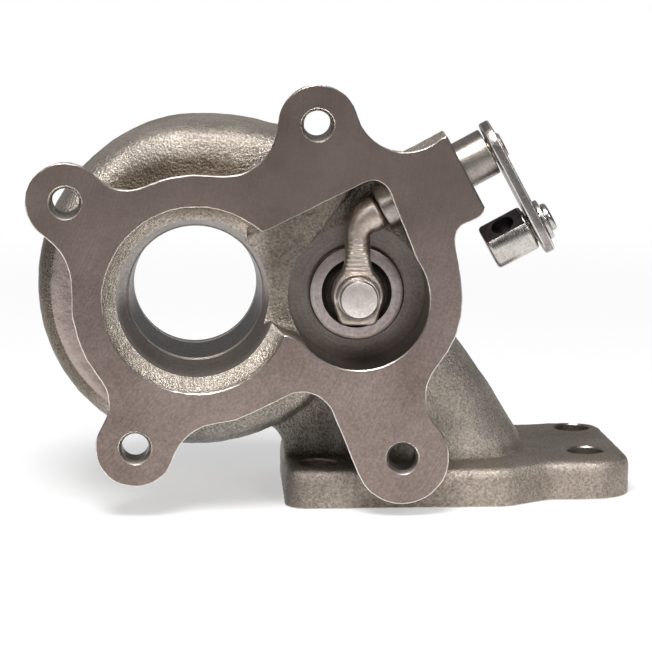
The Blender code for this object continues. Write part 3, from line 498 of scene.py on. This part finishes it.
def milled_iron(name, dark, light, streak_mm, relief_mm, axis, along_share=1.0):
    """Cut iron: a satin grey with specks of graphite and fine tool marks that run round an axis."""
    made, tree, place = new_material(name)
    cloud = {"Vector": place, "Scale": per_mm(22.0), "Detail": 4.0, "Roughness": 0.62}
    cloud = add_node(tree, "TexNoise", cloud)
    speck = {"Vector": place, "Scale": per_mm(0.75), "Detail": 3.0, "Roughness": 0.7}
    speck = add_node(tree, "TexNoise", speck)
    # Feed marks of about 0.2 mm are drawn two or three times as wide, so that they show
    round_axis = lathe_place(tree, place, axis, along_share)
    marks = {"Vector": round_axis, "Scale": per_mm(streak_mm), "Detail": 2.0, "Roughness": 0.55}
    marks = add_node(tree, "TexNoise", marks)
    tone = tinted(tree, two_tones(tree, cloud, dark, light), speck, 0.78, 1.12)
    tone = tinted(tree, tone, marks, 0.9, 1.08)
    gloss = add_node(tree, "MapRange", {0: speck, 1: NOISE_LOW, 2: NOISE_HIGH, 3: 0.40, 4: 0.28})
    relief = add_node(tree, "Bump", {"Height": marks, "Strength": 0.3, "Distance": relief_mm * MM})
    relief = {"Height": speck, "Strength": 0.35, "Distance": relief_mm * MM, "Normal": relief}
    return finish_metal(made, tree, tone, gloss, add_node(tree, "Bump", relief))


def worked_steel(name, dark, light, rough, grain, relief_mm, axis=None, marks_mm=0.5, ridged=False):
    """Steel: a mottled tone under a fine grain, with the lathe's rings where it was turned about an axis.

    Ridged steel has the level marks of the forging die on the arm's neck."""
    made, tree, place = new_material(name)
    cloud = {"Vector": place, "Scale": per_mm(5.0), "Detail": 4.0, "Roughness": 0.65}
    cloud = add_node(tree, "TexNoise", cloud)
    fine = {"Vector": place, "Scale": per_mm(grain), "Detail": 3.0, "Roughness": 0.65}
    fine = add_node(tree, "TexNoise", fine)
    tone = tinted(tree, two_tones(tree, cloud, dark, light), fine, 0.8, 1.12)
    low, high = rough + 0.07, rough - 0.06
    gloss = add_node(tree, "MapRange", {0: fine, 1: NOISE_LOW, 2: NOISE_HIGH, 3: low, 4: high})
    relief = add_node(tree, "Bump", {"Height": fine, "Strength": 0.5, "Distance": relief_mm * MM})
    if axis:
        # The lathe's rings are drawn coarser than they are too
        round_axis = lathe_place(tree, place, axis)
        rings = {"Vector": round_axis, "Scale": per_mm(marks_mm), "Detail": 2.0, "Roughness": 0.55}
        rings = add_node(tree, "TexNoise", rings)
        tone = tinted(tree, tone, rings, 0.88, 1.1)
        relief = {"Height": rings, "Strength": 0.5, "Distance": 0.05 * MM, "Normal": relief}
        relief = add_node(tree, "Bump", relief)
    if ridged:
        # At a scale of 1 the texture's bands lie tau / 20 apart
        scale = per_mm(1.15) * math.tau / 20.0
        bands = {"Vector": place, "Scale": scale, "Distortion": 2.2, "Detail": 2.0}
        wave = add_node(tree, "TexWave", bands, wave_type="BANDS", bands_direction="Z").outputs["Fac"]
        neck = zone_share(tree, add_node(tree, "SeparateXYZ", {0: place}).outputs, NECK)
        strength = add_node(tree, "Math", {0: neck, 1: 0.6}, operation="MULTIPLY")
        relief = {"Height": wave, "Strength": strength, "Distance": 0.16 * MM, "Normal": relief}
        relief = add_node(tree, "Bump", relief)
    return finish_metal(made, tree, tone, gloss, relief)


def build_materials():
    turbine, valve, shaft, pin = along_y(), along_y(*VALVE), shaft_frame(), shaft_frame(LEVER_LENGTH)
    sweep = along_y(*MILL_CENTRE)
    return {
        "cast": cast_iron(),
        # The outlet face, the foot and the boss end come from a face mill: warm satin grey, faint streaks
        "milled": milled_iron("Milled cast iron face", "#867770", "#9e8e87", 0.5, 0.05, sweep, 0.06),
        # The bore comes from a boring bar: darker, with fine rings
        "bored": milled_iron("Bored cast iron", "#5a5350", "#736b67", 0.6, 0.08, turbine),
        # The outlet's counterbore is in a paler tone, and the foot's holes take it too, as painted light on
        # their walls
        "outlet": milled_iron("Bored outlet cone", "#a0968f", "#bab0a9", 0.6, 0.08, turbine),
        "seat": milled_iron("Bored valve pocket", "#746b66", "#8b827c", 0.6, 0.08, valve),
        # Edges that a file broke are bare metal, and their tone is painted near white as the highlight along
        # them
        "edge": worked_steel("Milled iron edge with painted highlight", "#d8d0c7", "#eee8e0", 0.34, 0.7, 0.05),
        # A turned and ground bush: near white steel with fine rings
        "bush": worked_steel("Turned stainless bush", "#968e86", "#b2aaa2", 0.34, 0.6, 0.03, shaft, 0.8),
        # The arm was drop forged, then blasted: soft pale mottling over dark scale
        "forged": worked_steel("Forged and blasted steel", "#b0a399", "#cfc2b7", 0.38, 1.1, 0.2, ridged=True),
        # The valve was turned and has been heated: dull purplish grey with clear rings
        "valve": worked_steel(
            "Turned heat-resistant steel", "#aca09e", "#c6bab6", 0.36, 0.8, 0.05, valve, 0.55
        ),
        # The stud's head was pressed flat over its washer, and is the brightest metal in the pocket
        "stud": worked_steel("Riveted steel head", "#d2c8c3", "#ebe2dd", 0.4, 0.9, 0.06),
        # The lever was stamped and tumbled: dark and grainy on its face
        "lever": worked_steel("Stamped and tumbled steel", "#8f8887", "#aaa4a2", 0.32, 0.8, 0.18),
        # The block was turned and milled bright
        "block": worked_steel("Turned and milled steel", "#b9b2ad", "#d6d1cc", 0.26, 0.7, 0.04, pin, 0.6),
        # The flat on the block was milled, and its dark tone is a painted dark reflection of the dim room
        # that it faces
        "flat": milled_iron("Milled flat with painted dark reflection", "#564f50", "#6b6364", 0.5, 0.05, pin),
        # The groove round the valve's collar is painted near black: painted shade under the arm's eye
        "painted_shade": worked_steel("Groove with painted shade", "#37322f", "#4a4440", 0.6, 0.8, 0.1),
        # The washers were stamped: bright, with light scratches
        "washer": worked_steel("Stamped steel washer", "#b7b1ad", "#d2cdc9", 0.3, 0.6, 0.05),
    }


paint = build_materials()


def copy_of(node, name):
    """A merged copy of a CAD node's mesh, as stock for a finished piece."""
    obj = bpy.data.objects.new(name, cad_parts[node].data.copy())
    bpy.context.scene.collection.objects.link(obj)
    pick(obj)
    bpy.ops.object.mode_set(mode="EDIT")
    bpy.ops.mesh.select_all(action="SELECT")
    bpy.ops.mesh.remove_doubles(threshold=0.002 * MM)
    bpy.ops.mesh.customdata_custom_splitnormals_clear()
    bpy.ops.object.mode_set(mode="OBJECT")
    obj.data.materials.clear()
    return obj


def in_part(point):
    """A point of the scene in millimetres from the turbine axis."""
    return point / MM - DATUM


def push(obj, wanted, way):
    """Moves the corners that wanted() accepts, by millimetres."""
    select(obj, "VERT", lambda vert: wanted(in_part(vert.co)))
    bpy.ops.transform.translate(value=Vector(way) * MM)
    bpy.ops.object.mode_set(mode="OBJECT")


def shaft_reach(point):
    """How far out along the wastegate shaft a point lies."""
    return (point - Vector(SHAFT_START)).dot(shaft_way())


def roughen(obj, size, height):
    """Lumps of a real size in millimetres, which only lower the skin."""
    texture = bpy.data.textures.new("lumps", "CLOUDS")
    texture.noise_scale = size * MM
    texture.noise_depth = 2
    modify(obj, "DISPLACE", texture=texture, texture_coords="LOCAL", strength=height * MM, mid_level=1.0)


def make_casting():
    """The raw casting with stock on it, given its skin, and then machined where the real one is."""
    casting = copy_of("turbine_housing", "casting")
    casting.data.materials.append(paint["cast"])
    push(casting, lambda p: p.y < NEAR, (0.0, -STOCK, 0.0))
    push(casting, lambda p: p.z < FOOT_FACE + NEAR, (0.0, 0.0, -STOCK))
    push(casting, on_rear_flange, (0.0, STOCK, 0.0))
    push(casting, on_boss_end, shaft_way() * STOCK)
    # The pocket's round wall gets stock too, because the seat cutter takes it to size
    select(casting, "VERT", lambda vert: on_pocket_wall(in_part(vert.co)))
    middle = (Vector((VALVE[0], 0.0, VALVE[1])) + DATUM) * MM
    bpy.ops.transform.resize(value=(0.955, 1.0, 0.955), center_override=middle)
    bpy.ops.object.mode_set(mode="OBJECT")
    plugs = []
    for start, end, radius, centre, sides in PLUGS:
        plugs.append(turned("plug", ((start, radius), (end, radius)), along_y(*centre), paint["cast"], sides))
    # A cast shoulder runs round the outlet and stops at the valve's chamber
    stations = ((SHOULDER_DEPTH, OUTLET_R), (-STOCK, SHOULDER_OUTER_R), (SHOULDER_END, SHOULDER_OUTER_R))
    shoulder = turned("shoulder", stations, along_y(*SHOULDER_CENTRE), paint["cast"])
    side = Matrix.Translation((19.5, 0.0, -5.9)) @ Matrix.Rotation(math.radians(-45.0), 4, "Y")
    cut(shoulder, block("gap", (13.5, -6.0, -5.9), (40.0, 12.0, 40.0), Matrix(), paint["cast"]))
    plugs.append(cut(shoulder, block("gap", (0.0, -6.0, -10.0), (20.0, 12.0, 10.0), side, paint["cast"])))
    plug_end = FLANGE_THICK - 0.1
    for hole in HOLES:
        stations = ((-STOCK, HOLE_PLUG_R), (plug_end, HOLE_PLUG_R))
        plugs.append(turned("plug", stations, along_y(*hole), paint["cast"], 32))
    for x, y in FOOT_HOLES:
        upright = Matrix.Translation((x, y, FOOT_FACE))
        stations = ((-STOCK, FOOT_PLUG_R), (FOOT_THICK - 0.05, FOOT_PLUG_R))
        plugs.append(turned("plug", stations, upright, paint["cast"], 32))
    pick(*plugs, casting)
    bpy.ops.object.join()
    modify(casting, "REMESH", mode="VOXEL", voxel_size=VOXEL * MM)
    modify(casting, "SMOOTH", factor=0.5, iterations=SKIN_SMOOTHING)
    # The flange runs a little past the boss, in a soft corner
    select(casting, "VERT", lambda vert: near_boss_corner(in_part(vert.co)))
    bpy.ops.transform.translate(
        value=Vector(BOSS_CORNER_PULL) * MM,
        use_proportional_edit=True,
        proportional_edit_falloff="SMOOTH",
        proportional_size=BOSS_CORNER_REACH * MM,
    )
    bpy.ops.object.mode_set(mode="OBJECT")
    # The volute is one full curve from its back to the flange
    volute = casting.vertex_groups.new(name="volute")
    volute.add([vert.index for vert in casting.data.vertices if on_volute(in_part(vert.co))], 1.0, "REPLACE")
    modify(casting, "SMOOTH", factor=0.9, iterations=VOLUTE_SMOOTHING, vertex_group="volute")
    for size, height in CAST_LUMPS:
        roughen(casting, size, height)
    triangles = 2 * len(casting.data.polygons)
    if triangles > CAST_TRIANGLES:
        modify(casting, "DECIMATE", ratio=CAST_TRIANGLES / triangles)
    casting.data.materials.clear()
    casting.data.materials.append(paint["cast"])
    machine(casting)
    return casting


def on_rear_flange(point):
    return abs(point.y - REAR_FACE) < NEAR and math.hypot(point.x, point.z) < 39.0


def on_boss_end(point):
    return shaft_reach(point) > BOSS_FACE - 0.5 and point.z > 15.0


def near_boss_corner(point):
    away = math.hypot(point.x - BOSS_CORNER[0], point.z - BOSS_CORNER[1])
    return away < BOSS_CORNER_R and point.y < FLANGE_THICK + 0.5


def on_volute(point):
    front, rear = VOLUTE_DEPTHS
    outside = math.hypot(point.x, point.z) > VOLUTE_INNER_R
    return front < point.y < rear and outside and point.x < VOLUTE_RIGHT and point.z > VOLUTE_BOTTOM


def on_pocket_wall(point):
    away = math.hypot(point.x - VALVE[0], point.z - VALVE[1])
    return abs(away - POCKET_R) < 0.06 and point.y < ARM_SPACE_DEPTH + 0.1


def bore_stations():
    """The lathe's cut through the housing: diffuser, throat, shroud, nozzle, wheel bore and register."""
    stations = [(DIFFUSER_START, DIFFUSER_R), (THROAT_START, THROAT_R), (THROAT_END, THROAT_R)]
    for step in range(1, SHROUD_STEPS + 1):
        turn = math.radians(90.0 * step / SHROUD_STEPS)
        depth = THROAT_END + SHROUD_DEPTH * math.sin(turn)
        stations.append((depth, THROAT_R + SHROUD_RISE * (1 - math.cos(turn))))
    stations += [(NOZZLE_FRONT, NOZZLE_R), (NOZZLE_REAR, NOZZLE_R), (NOZZLE_REAR, WHEEL_R)]
    stations += [(REGISTER_START, WHEEL_R), (REGISTER_START, REGISTER_R), (REAR_FACE + 4.0, REGISTER_R)]
    return stations


def machine(casting):
    """Mills the faces, bores and drills the casting, and breaks the milled edges."""
    # The mills are wider than the faces, and cut them low by the edge's break, which comes back below
    low_outlet, high_outlet = (-90.0, -8.0, -90.0), (150.0, EDGE_BREAK, 90.0)
    low_foot, high_foot = (-40.0, -20.0, FOOT_FACE - 8.0), (140.0, 90.0, FOOT_FACE + EDGE_BREAK)
    low_boss, high_boss = (-16.0, -16.0, BOSS_FACE - EDGE_BREAK), (16.0, 16.0, BOSS_FACE + 12.0)
    rear = ((REAR_FACE - EDGE_BREAK, REAR_MILL_R), (REAR_FACE + 8.0, REAR_MILL_R))
    milled, bored = paint["milled"], paint["bored"]
    still = Matrix()
    cut(
        casting,
        block("mill", low_outlet, high_outlet, still, milled),
        block("mill", low_foot, high_foot, still, milled),
        turned("mill", rear, along_y(), milled),
        block("mill", low_boss, high_boss, shaft_frame(), milled),
    )
    # The flange's corner under the boss is round
    for turn in TIP_TURNS:
        facing = along_y(*TIP) @ Matrix.Rotation(math.radians(turn), 4, "Z")
        cut(casting, block("corner", (TIP_R, -6.0, -4.0), (9.0, 6.0, 20.0), facing, paint["cast"]))
    corner = (CORNER[0] - VALVE[0], VALVE[1] - CORNER[1])
    space = along_y(*VALVE)
    drill_r = BUSH_R + 0.3
    tools = [
        turned("boring bar", bore_stations(), along_y(), bored, 128),
        turned("counterbore", COUNTERBORE, along_y(), paint["outlet"], 128),
        # The lead, the throat line and the countersinks below take the edge tone, a painted highlight on
        # their chamfers
        turned("lead", OUTLET_LEAD, along_y(), paint["edge"], 128),
        turned("throat", THROAT_LINE, along_y(), paint["edge"], 128),
        strap("arm space", SEAT_R - 0.3, corner, CORNER_R, 9.0, ARM_SPACE_DEPTH, space, paint["cast"]),
        turned("seat cutter", ((-4.0, SEAT_R), (SEAT_DEPTH, SEAT_R)), space, paint["seat"], 96),
        turned("bush drill", ((4.0, drill_r), (BOSS_FACE + 6.0, drill_r)), shaft_frame(), bored, 64),
    ]
    for x, z in HOLES:
        stations = ((-3.0, HOLE_SINK / 2 + 0.6), (0.0, HOLE_SINK / 2), (HOLE_LEAD, HOLE_DRILL / 2 - 0.1))
        tools.append(turned("countersink", stations, along_y(x, z), paint["edge"], 64))
        stations = ((-3.0, HOLE_DRILL / 2), (FLANGE_THICK + 4.0, HOLE_DRILL / 2))
        tools.append(turned("drill", stations, along_y(x, z), bored, 64))
    for x, y in FOOT_HOLES:
        upright = Matrix.Translation((x, y, FOOT_FACE))
        stations = ((-4.0, FOOT_DRILL / 2), (FOOT_THICK - 0.7, FOOT_DRILL / 2))
        stations += ((FOOT_THICK + 0.1, FOOT_DRILL / 2 + 0.6), (FOOT_THICK + 3.0, FOOT_DRILL / 2 + 0.6))
        # The foot's holes take the pale outlet tone: painted light on their walls
        tools.append(turned("foot drill", stations, upright, paint["outlet"], 64))
    for index in range(REAR_SCREWS):
        turn = math.tau * (index + 0.5) / REAR_SCREWS
        where = along_y(REAR_CIRCLE * math.cos(turn), REAR_CIRCLE * math.sin(turn))
        stations = ((48.0, REAR_DRILL / 2), (60.0, REAR_DRILL / 2))
        tools.append(turned("screw drill", stations, where, bored, 40))
    cut(casting, *tools)
    casting.data.materials.append(paint["edge"])
    break_edges(casting, Vector((0.0, -1.0, 0.0)), lambda p: abs(p.y - EDGE_BREAK) < NEAR)
    break_edges(casting, Vector((0.0, 0.0, -1.0)), lambda p: abs(p.z - FOOT_FACE - EDGE_BREAK) < NEAR)
    break_edges(casting, Vector((0.0, 1.0, 0.0)), lambda p: abs(p.y - REAR_FACE + EDGE_BREAK) < NEAR)
    break_edges(casting, shaft_way(), lambda p: abs(shaft_reach(p) - BOSS_FACE + EDGE_BREAK) < NEAR)
    sharpen(casting)


def break_edges(casting, out, on_plane):
    """Raises a milled face to its size inside a narrow slope, which is the broken edge all round it."""
    names = [material.name for material in casting.data.materials]
    mill, edge = names.index(paint["milled"].name), names.index(paint["edge"].name)
    flat = {
        face.index
        for face in casting.data.polygons
        if face.material_index == mill and face.normal.dot(out) > 0.99 and on_plane(in_part(face.center))
    }
    select(casting, "FACE", lambda face: face.index in flat)
    bpy.ops.mesh.quads_convert_to_tris(quad_method="BEAUTY", ngon_method="BEAUTY")
    bpy.ops.mesh.inset(thickness=EDGE_BREAK * MM, use_even_offset=False)
    bpy.ops.transform.translate(value=out * EDGE_BREAK * MM)
    bpy.ops.object.mode_set(mode="OBJECT")
    # The slope takes the edge tone, a painted highlight along the broken edge
    for face in casting.data.polygons:
        if not face.select and face.material_index == mill and 0.5 < face.normal.dot(out) < 0.95:
            face.material_index = edge


def sharpen(obj):
    """Smooth skin, with a sharp line wherever a tool's cut begins or turns."""
    pick(obj)
    bpy.ops.object.shade_smooth()
    mesh = obj.data
    sides = {}
    for face in mesh.polygons:
        for key in face.edge_keys:
            sides.setdefault(key, []).append(face)
    sharp = set()
    for key, faces in sides.items():
        if len(faces) != 2:
            continue
        first, second = faces
        if first.material_index == second.material_index == 0:
            continue
        if first.material_index != second.material_index or first.normal.dot(second.normal) < 0.9:
            sharp.add(key)
    for edge in mesh.edges:
        edge.use_edge_sharp = tuple(sorted(edge.vertices)) in sharp


def make_bush():
    """A turned bush with rounded ends, reamed for the shaft."""
    stations = rounding(BUSH_START, BUSH_R, 0.5, False) + rounding(BUSH_END, BUSH_R, 0.35)
    bush = turned("bush", stations, shaft_frame(), paint["bush"])
    bore = ((BUSH_START - 1.0, BUSH_BORE_R), (BUSH_END + 1.0, BUSH_BORE_R))
    lead = ((BUSH_END - 0.7, BUSH_BORE_R - 0.4), (BUSH_END + 0.3, BUSH_BORE_R + 0.6))
    for name, stations in (("reamer", bore), ("lead", lead)):
        cut(bush, turned(name, stations, shaft_frame(), paint["bush"]))
    return soften(bush)


def make_arm():
    """The forging, with its facets melted into one skin, from the shaft's end down to the eye."""
    arm = copy_of("wastegate_arm", "arm")
    modify(arm, "REMESH", mode="VOXEL", voxel_size=ARM_VOXEL * MM)
    modify(arm, "SMOOTH", factor=0.5, iterations=7)
    roughen(arm, *ARM_LUMP)
    triangles = 2 * len(arm.data.polygons)
    modify(arm, "DECIMATE", ratio=min(1.0, ARM_TRIANGLES / triangles))
    # Smoothing thins the neck and the eye, which are brought back to size
    thin = arm.vertex_groups.new(name="thin")
    thin.add([vert.index for vert in arm.data.vertices if on_thin_part(in_part(vert.co))], 1.0, "REPLACE")
    modify(arm, "DISPLACE", strength=0.3 * MM, mid_level=0.0, vertex_group="thin")
    neck = arm.vertex_groups.new(name="neck")
    for vert in arm.data.vertices:
        neck.add([vert.index], neck_share(in_part(vert.co)), "REPLACE")
    modify(arm, "DISPLACE", strength=0.35 * MM, mid_level=0.0, vertex_group="neck")
    modify(arm, "SMOOTH", factor=0.5, iterations=8, vertex_group="thin")
    arm.data.materials.clear()
    arm.data.materials.append(paint["forged"])
    pick(arm)
    bpy.ops.object.shade_smooth()
    return arm


def on_thin_part(point):
    return shaft_reach(point) < 6.0 and math.hypot(point.x - VALVE[0], point.z - VALVE[1]) > 5.7


def neck_share(point):
    """How much a point of the arm belongs to its neck, from 0 at the eye and the elbow to 1 between them."""
    if shaft_reach(point) > 5.0:
        return 0.0
    return max(0.0, min(1.0, (point.z - 5.5) / 3.0, (20.0 - point.z) / 7.0))


def make_valve():
    """The valve, turned in one: a disc dished round its collar, and the stud with its riveted head."""
    stud = turned("stud", STUD_HEAD, along_y(*VALVE), paint["stud"])
    valve = turned("valve", DISC, along_y(*VALVE), paint["valve"])
    # Painted shade: the groove round the collar, under the arm's eye, takes a near black steel
    valve.data.materials.append(paint["painted_shade"])
    for face in valve.data.polygons:
        middle = in_part(face.center)
        radius = math.hypot(middle.x - VALVE[0], middle.z - VALVE[1])
        if SHADED_DISH_RADII[0] < radius < SHADED_DISH_RADII[1] and SHADED_DISH_DEPTHS[0] < middle.y < SHADED_DISH_DEPTHS[1]:
            face.material_index = 1
    pick(stud, valve)
    bpy.ops.object.join()
    return soften(valve, 24.0)


def washer(name, sizes, frame_mm, material):
    """A stamped washer: one face rounded over by the punch, the other with a small burr line."""
    low, high, hole, radius = sizes
    stations = [(low, radius - 0.12), (low + 0.12, radius)] + rounding(high, radius, 0.35)
    ring = turned(name, stations, frame_mm, material)
    cut(ring, turned("punch", ((low - 1.0, hole), (high + 1.0, hole)), frame_mm, material))
    return soften(ring)


def make_lever():
    """A stamped plate with rounded edges and two punched holes."""
    outer = LEVER_INNER + LEVER_THICK
    second = (LEVER_LENGTH, 0.0)
    near_r, far_r = LEVER_END_RS
    lever = strap("lever", near_r, second, far_r, LEVER_INNER, outer, shaft_frame(), paint["lever"])
    lever.data.materials.append(paint["edge"])
    angle = math.radians(60.0)
    # The bevel takes the edge tone: a painted highlight along the lever's borders
    modify(lever, "BEVEL", width=0.45 * MM, segments=3, limit_method="ANGLE", angle_limit=angle, material=1)
    for along, radius in ((0.0, SHAFT_R + 0.3), (LEVER_LENGTH, PIN_HOLE_R)):
        hole = ((LEVER_INNER - 1.0, radius), (outer + 1.0, radius))
        cut(lever, turned("punch", hole, shaft_frame(along), paint["lever"]))
    return soften(lever)


def make_block():
    """The block: turned with its collar, shank and riveted head, then milled flat and drilled across."""
    pin = shaft_frame(LEVER_LENGTH)
    stations = rounding(BLOCK_START, BLOCK_R, 1.0, False) + rounding(SHANK[0][0], BLOCK_R, 0.8)
    stations += [*SHANK, *rounding(PIN_END, PIN_HEAD_R, 0.8)]
    made = turned("swivel_pin", stations, pin, paint["block"])
    middle = pin @ Matrix.Translation((0.0, 0.0, BLOCK_MIDDLE)) @ Matrix.Rotation(BLOCK_TURN, 4, "Z")
    across = middle @ Matrix.Rotation(math.radians(90.0), 4, "Y")
    # The milled flat and the cross hole take the flat's dark tone, a painted dark reflection
    cut(made, block("mill", (-12.0, -9.0, -8.0), (-4.7, 9.0, 5.3), middle, paint["flat"]))
    cut(made, turned("drill", ((-12.0, BLOCK_DRILL_R), (12.0, BLOCK_DRILL_R)), across, paint["flat"]))
    modify(made, "BEVEL", width=0.14 * MM, segments=2, limit_method="ANGLE", angle_limit=math.radians(50.0))
    return soften(made)


for piece, node, body, slot in (
    (make_casting(), "turbine_housing", "housing", "cast_skin"),
    (make_bush(), "wastegate_bush", "housing", "bush_steel"),
    (make_arm(), "wastegate_arm", "wastegate", "forged_steel"),
    (make_valve(), "valve_flap", "valve", "valve_steel"),
    (
        washer("valve_washer_ring", VALVE_WASHER, along_y(*VALVE), paint["washer"]),
        "valve_washer",
        "valve",
        "washer_steel",
    ),
    (make_lever(), "crank_lever", "wastegate", "lever_steel"),
    (make_block(), "swivel_block", "swivel", "block_steel"),
    (
        washer("pin_washer_ring", PIN_WASHER, shaft_frame(LEVER_LENGTH), paint["washer"]),
        "swivel_washer",
        "swivel",
        "washer_steel",
    ),
):
    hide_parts(node)
    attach(piece, body)


def make_studio():
    """A pale floor in a studio that is bright overhead and dim behind the camera."""
    clear_selection()
    bpy.ops.mesh.primitive_plane_add(size=FLOOR_SIZE, location=(0.0, 0.0, 0.0))
    floor = bpy.context.object
    floor.name = "floor"
    material, tree, place = new_material("Pale floor")
    rays = add_node(tree, "LightPath").outputs
    glossy = rays["Is Glossy Ray"]
    seen = add_node(tree, "Math", {0: rays["Is Camera Ray"], 1: glossy}, operation="MAXIMUM")
    seen = add_node(tree, "Math", {0: seen, 1: rays["Is Transmission Ray"]}, operation="MAXIMUM")
    # Far from the object, where no shadow falls, the floor is the white background
    away = add_node(tree, "VectorMath", {0: place}, operation="LENGTH")
    far = add_node(tree, "MapRange", {0: away, 1: 0.2, 2: 0.5, 3: 0.45, 4: 1.0})
    share = add_node(tree, "Math", {0: seen, 1: far}, operation="MULTIPLY")
    pale = add_node(tree, "BsdfDiffuse", {"Color": colour("#f2f2f2")})
    glow = add_node(tree, "Emission", {"Color": WHITE, "Strength": 1.0})
    surface = add_node(tree, "MixShader", {0: share, 1: pale, 2: glow})
    # The room beyond the table is dim, and the upright faces of the object mirror that
    dim = add_node(tree, "MapRange", {0: away, 1: 0.22, 2: 0.7, 3: 0.0, 4: 0.85})
    dim = add_node(tree, "Math", {0: glossy, 1: dim}, operation="MULTIPLY")
    night = add_node(tree, "Emission", {"Color": WHITE, "Strength": 0.1})
    surface = add_node(tree, "MixShader", {0: dim, 1: surface, 2: night})
    add_node(tree, "OutputMaterial", {"Surface": surface})
    floor.data.materials.append(material)

    world = bpy.data.worlds.new("Studio")
    bpy.context.scene.world = world
    world.use_nodes = True
    tree = world.node_tree
    tree.nodes.clear()
    rays = add_node(tree, "LightPath").outputs
    glossy = rays["Is Glossy Ray"]
    seen = {0: rays["Is Camera Ray"], 1: rays["Is Transmission Ray"]}
    seen = add_node(tree, "Math", seen, operation="MAXIMUM")
    # Polished metal shows the white wall behind the object, and the dim room in front of it
    depth = add_node(tree, "SeparateXYZ", {0: add_node(tree, "TexCoord").outputs["Generated"]}).outputs["Y"]
    wall = add_node(tree, "MapRange", {0: depth, 1: 0.0, 2: 0.42, 3: 0.02, 4: 0.28})
    wall = add_node(tree, "Math", {0: glossy, 1: wall}, operation="MULTIPLY")
    strength = add_node(tree, "Math", {0: seen, 1: wall}, operation="MAXIMUM")
    fill = add_node(tree, "Math", {0: 1.0, 1: glossy}, operation="SUBTRACT")
    fill = add_node(tree, "Math", {0: fill, 1: 0.4}, operation="MULTIPLY")
    strength = add_node(tree, "Math", {0: strength, 1: fill}, operation="MAXIMUM")
    back = add_node(tree, "Background", {"Color": WHITE, "Strength": strength})
    add_node(tree, "OutputWorld", {"Surface": back})

    for name, place, size, watts in SOFTBOXES:
        lamp = bpy.data.lights.new(name, "AREA")
        lamp.shape = "SQUARE"
        lamp.size = size
        lamp.energy = watts
        holder = bpy.data.objects.new(name, lamp)
        bpy.context.scene.collection.objects.link(holder)
        holder.location = place
        holder.rotation_euler = (Vector(TARGET) - Vector(place)).to_track_quat("-Z", "Y").to_euler()

    camera_data = bpy.data.cameras.new("camera")
    camera_data.lens = CAMERA_LENS
    camera_data.sensor_width = 36.0
    camera = bpy.data.objects.new("camera", camera_data)
    bpy.context.scene.collection.objects.link(camera)
    camera.location = CAMERA_PLACE
    camera.rotation_euler = (math.radians(90.0) - CAMERA_DROP, 0.0, CAMERA_TURN)
    bpy.context.scene.camera = camera
    bpy.context.scene.view_settings.view_transform = "Standard"


make_studio()
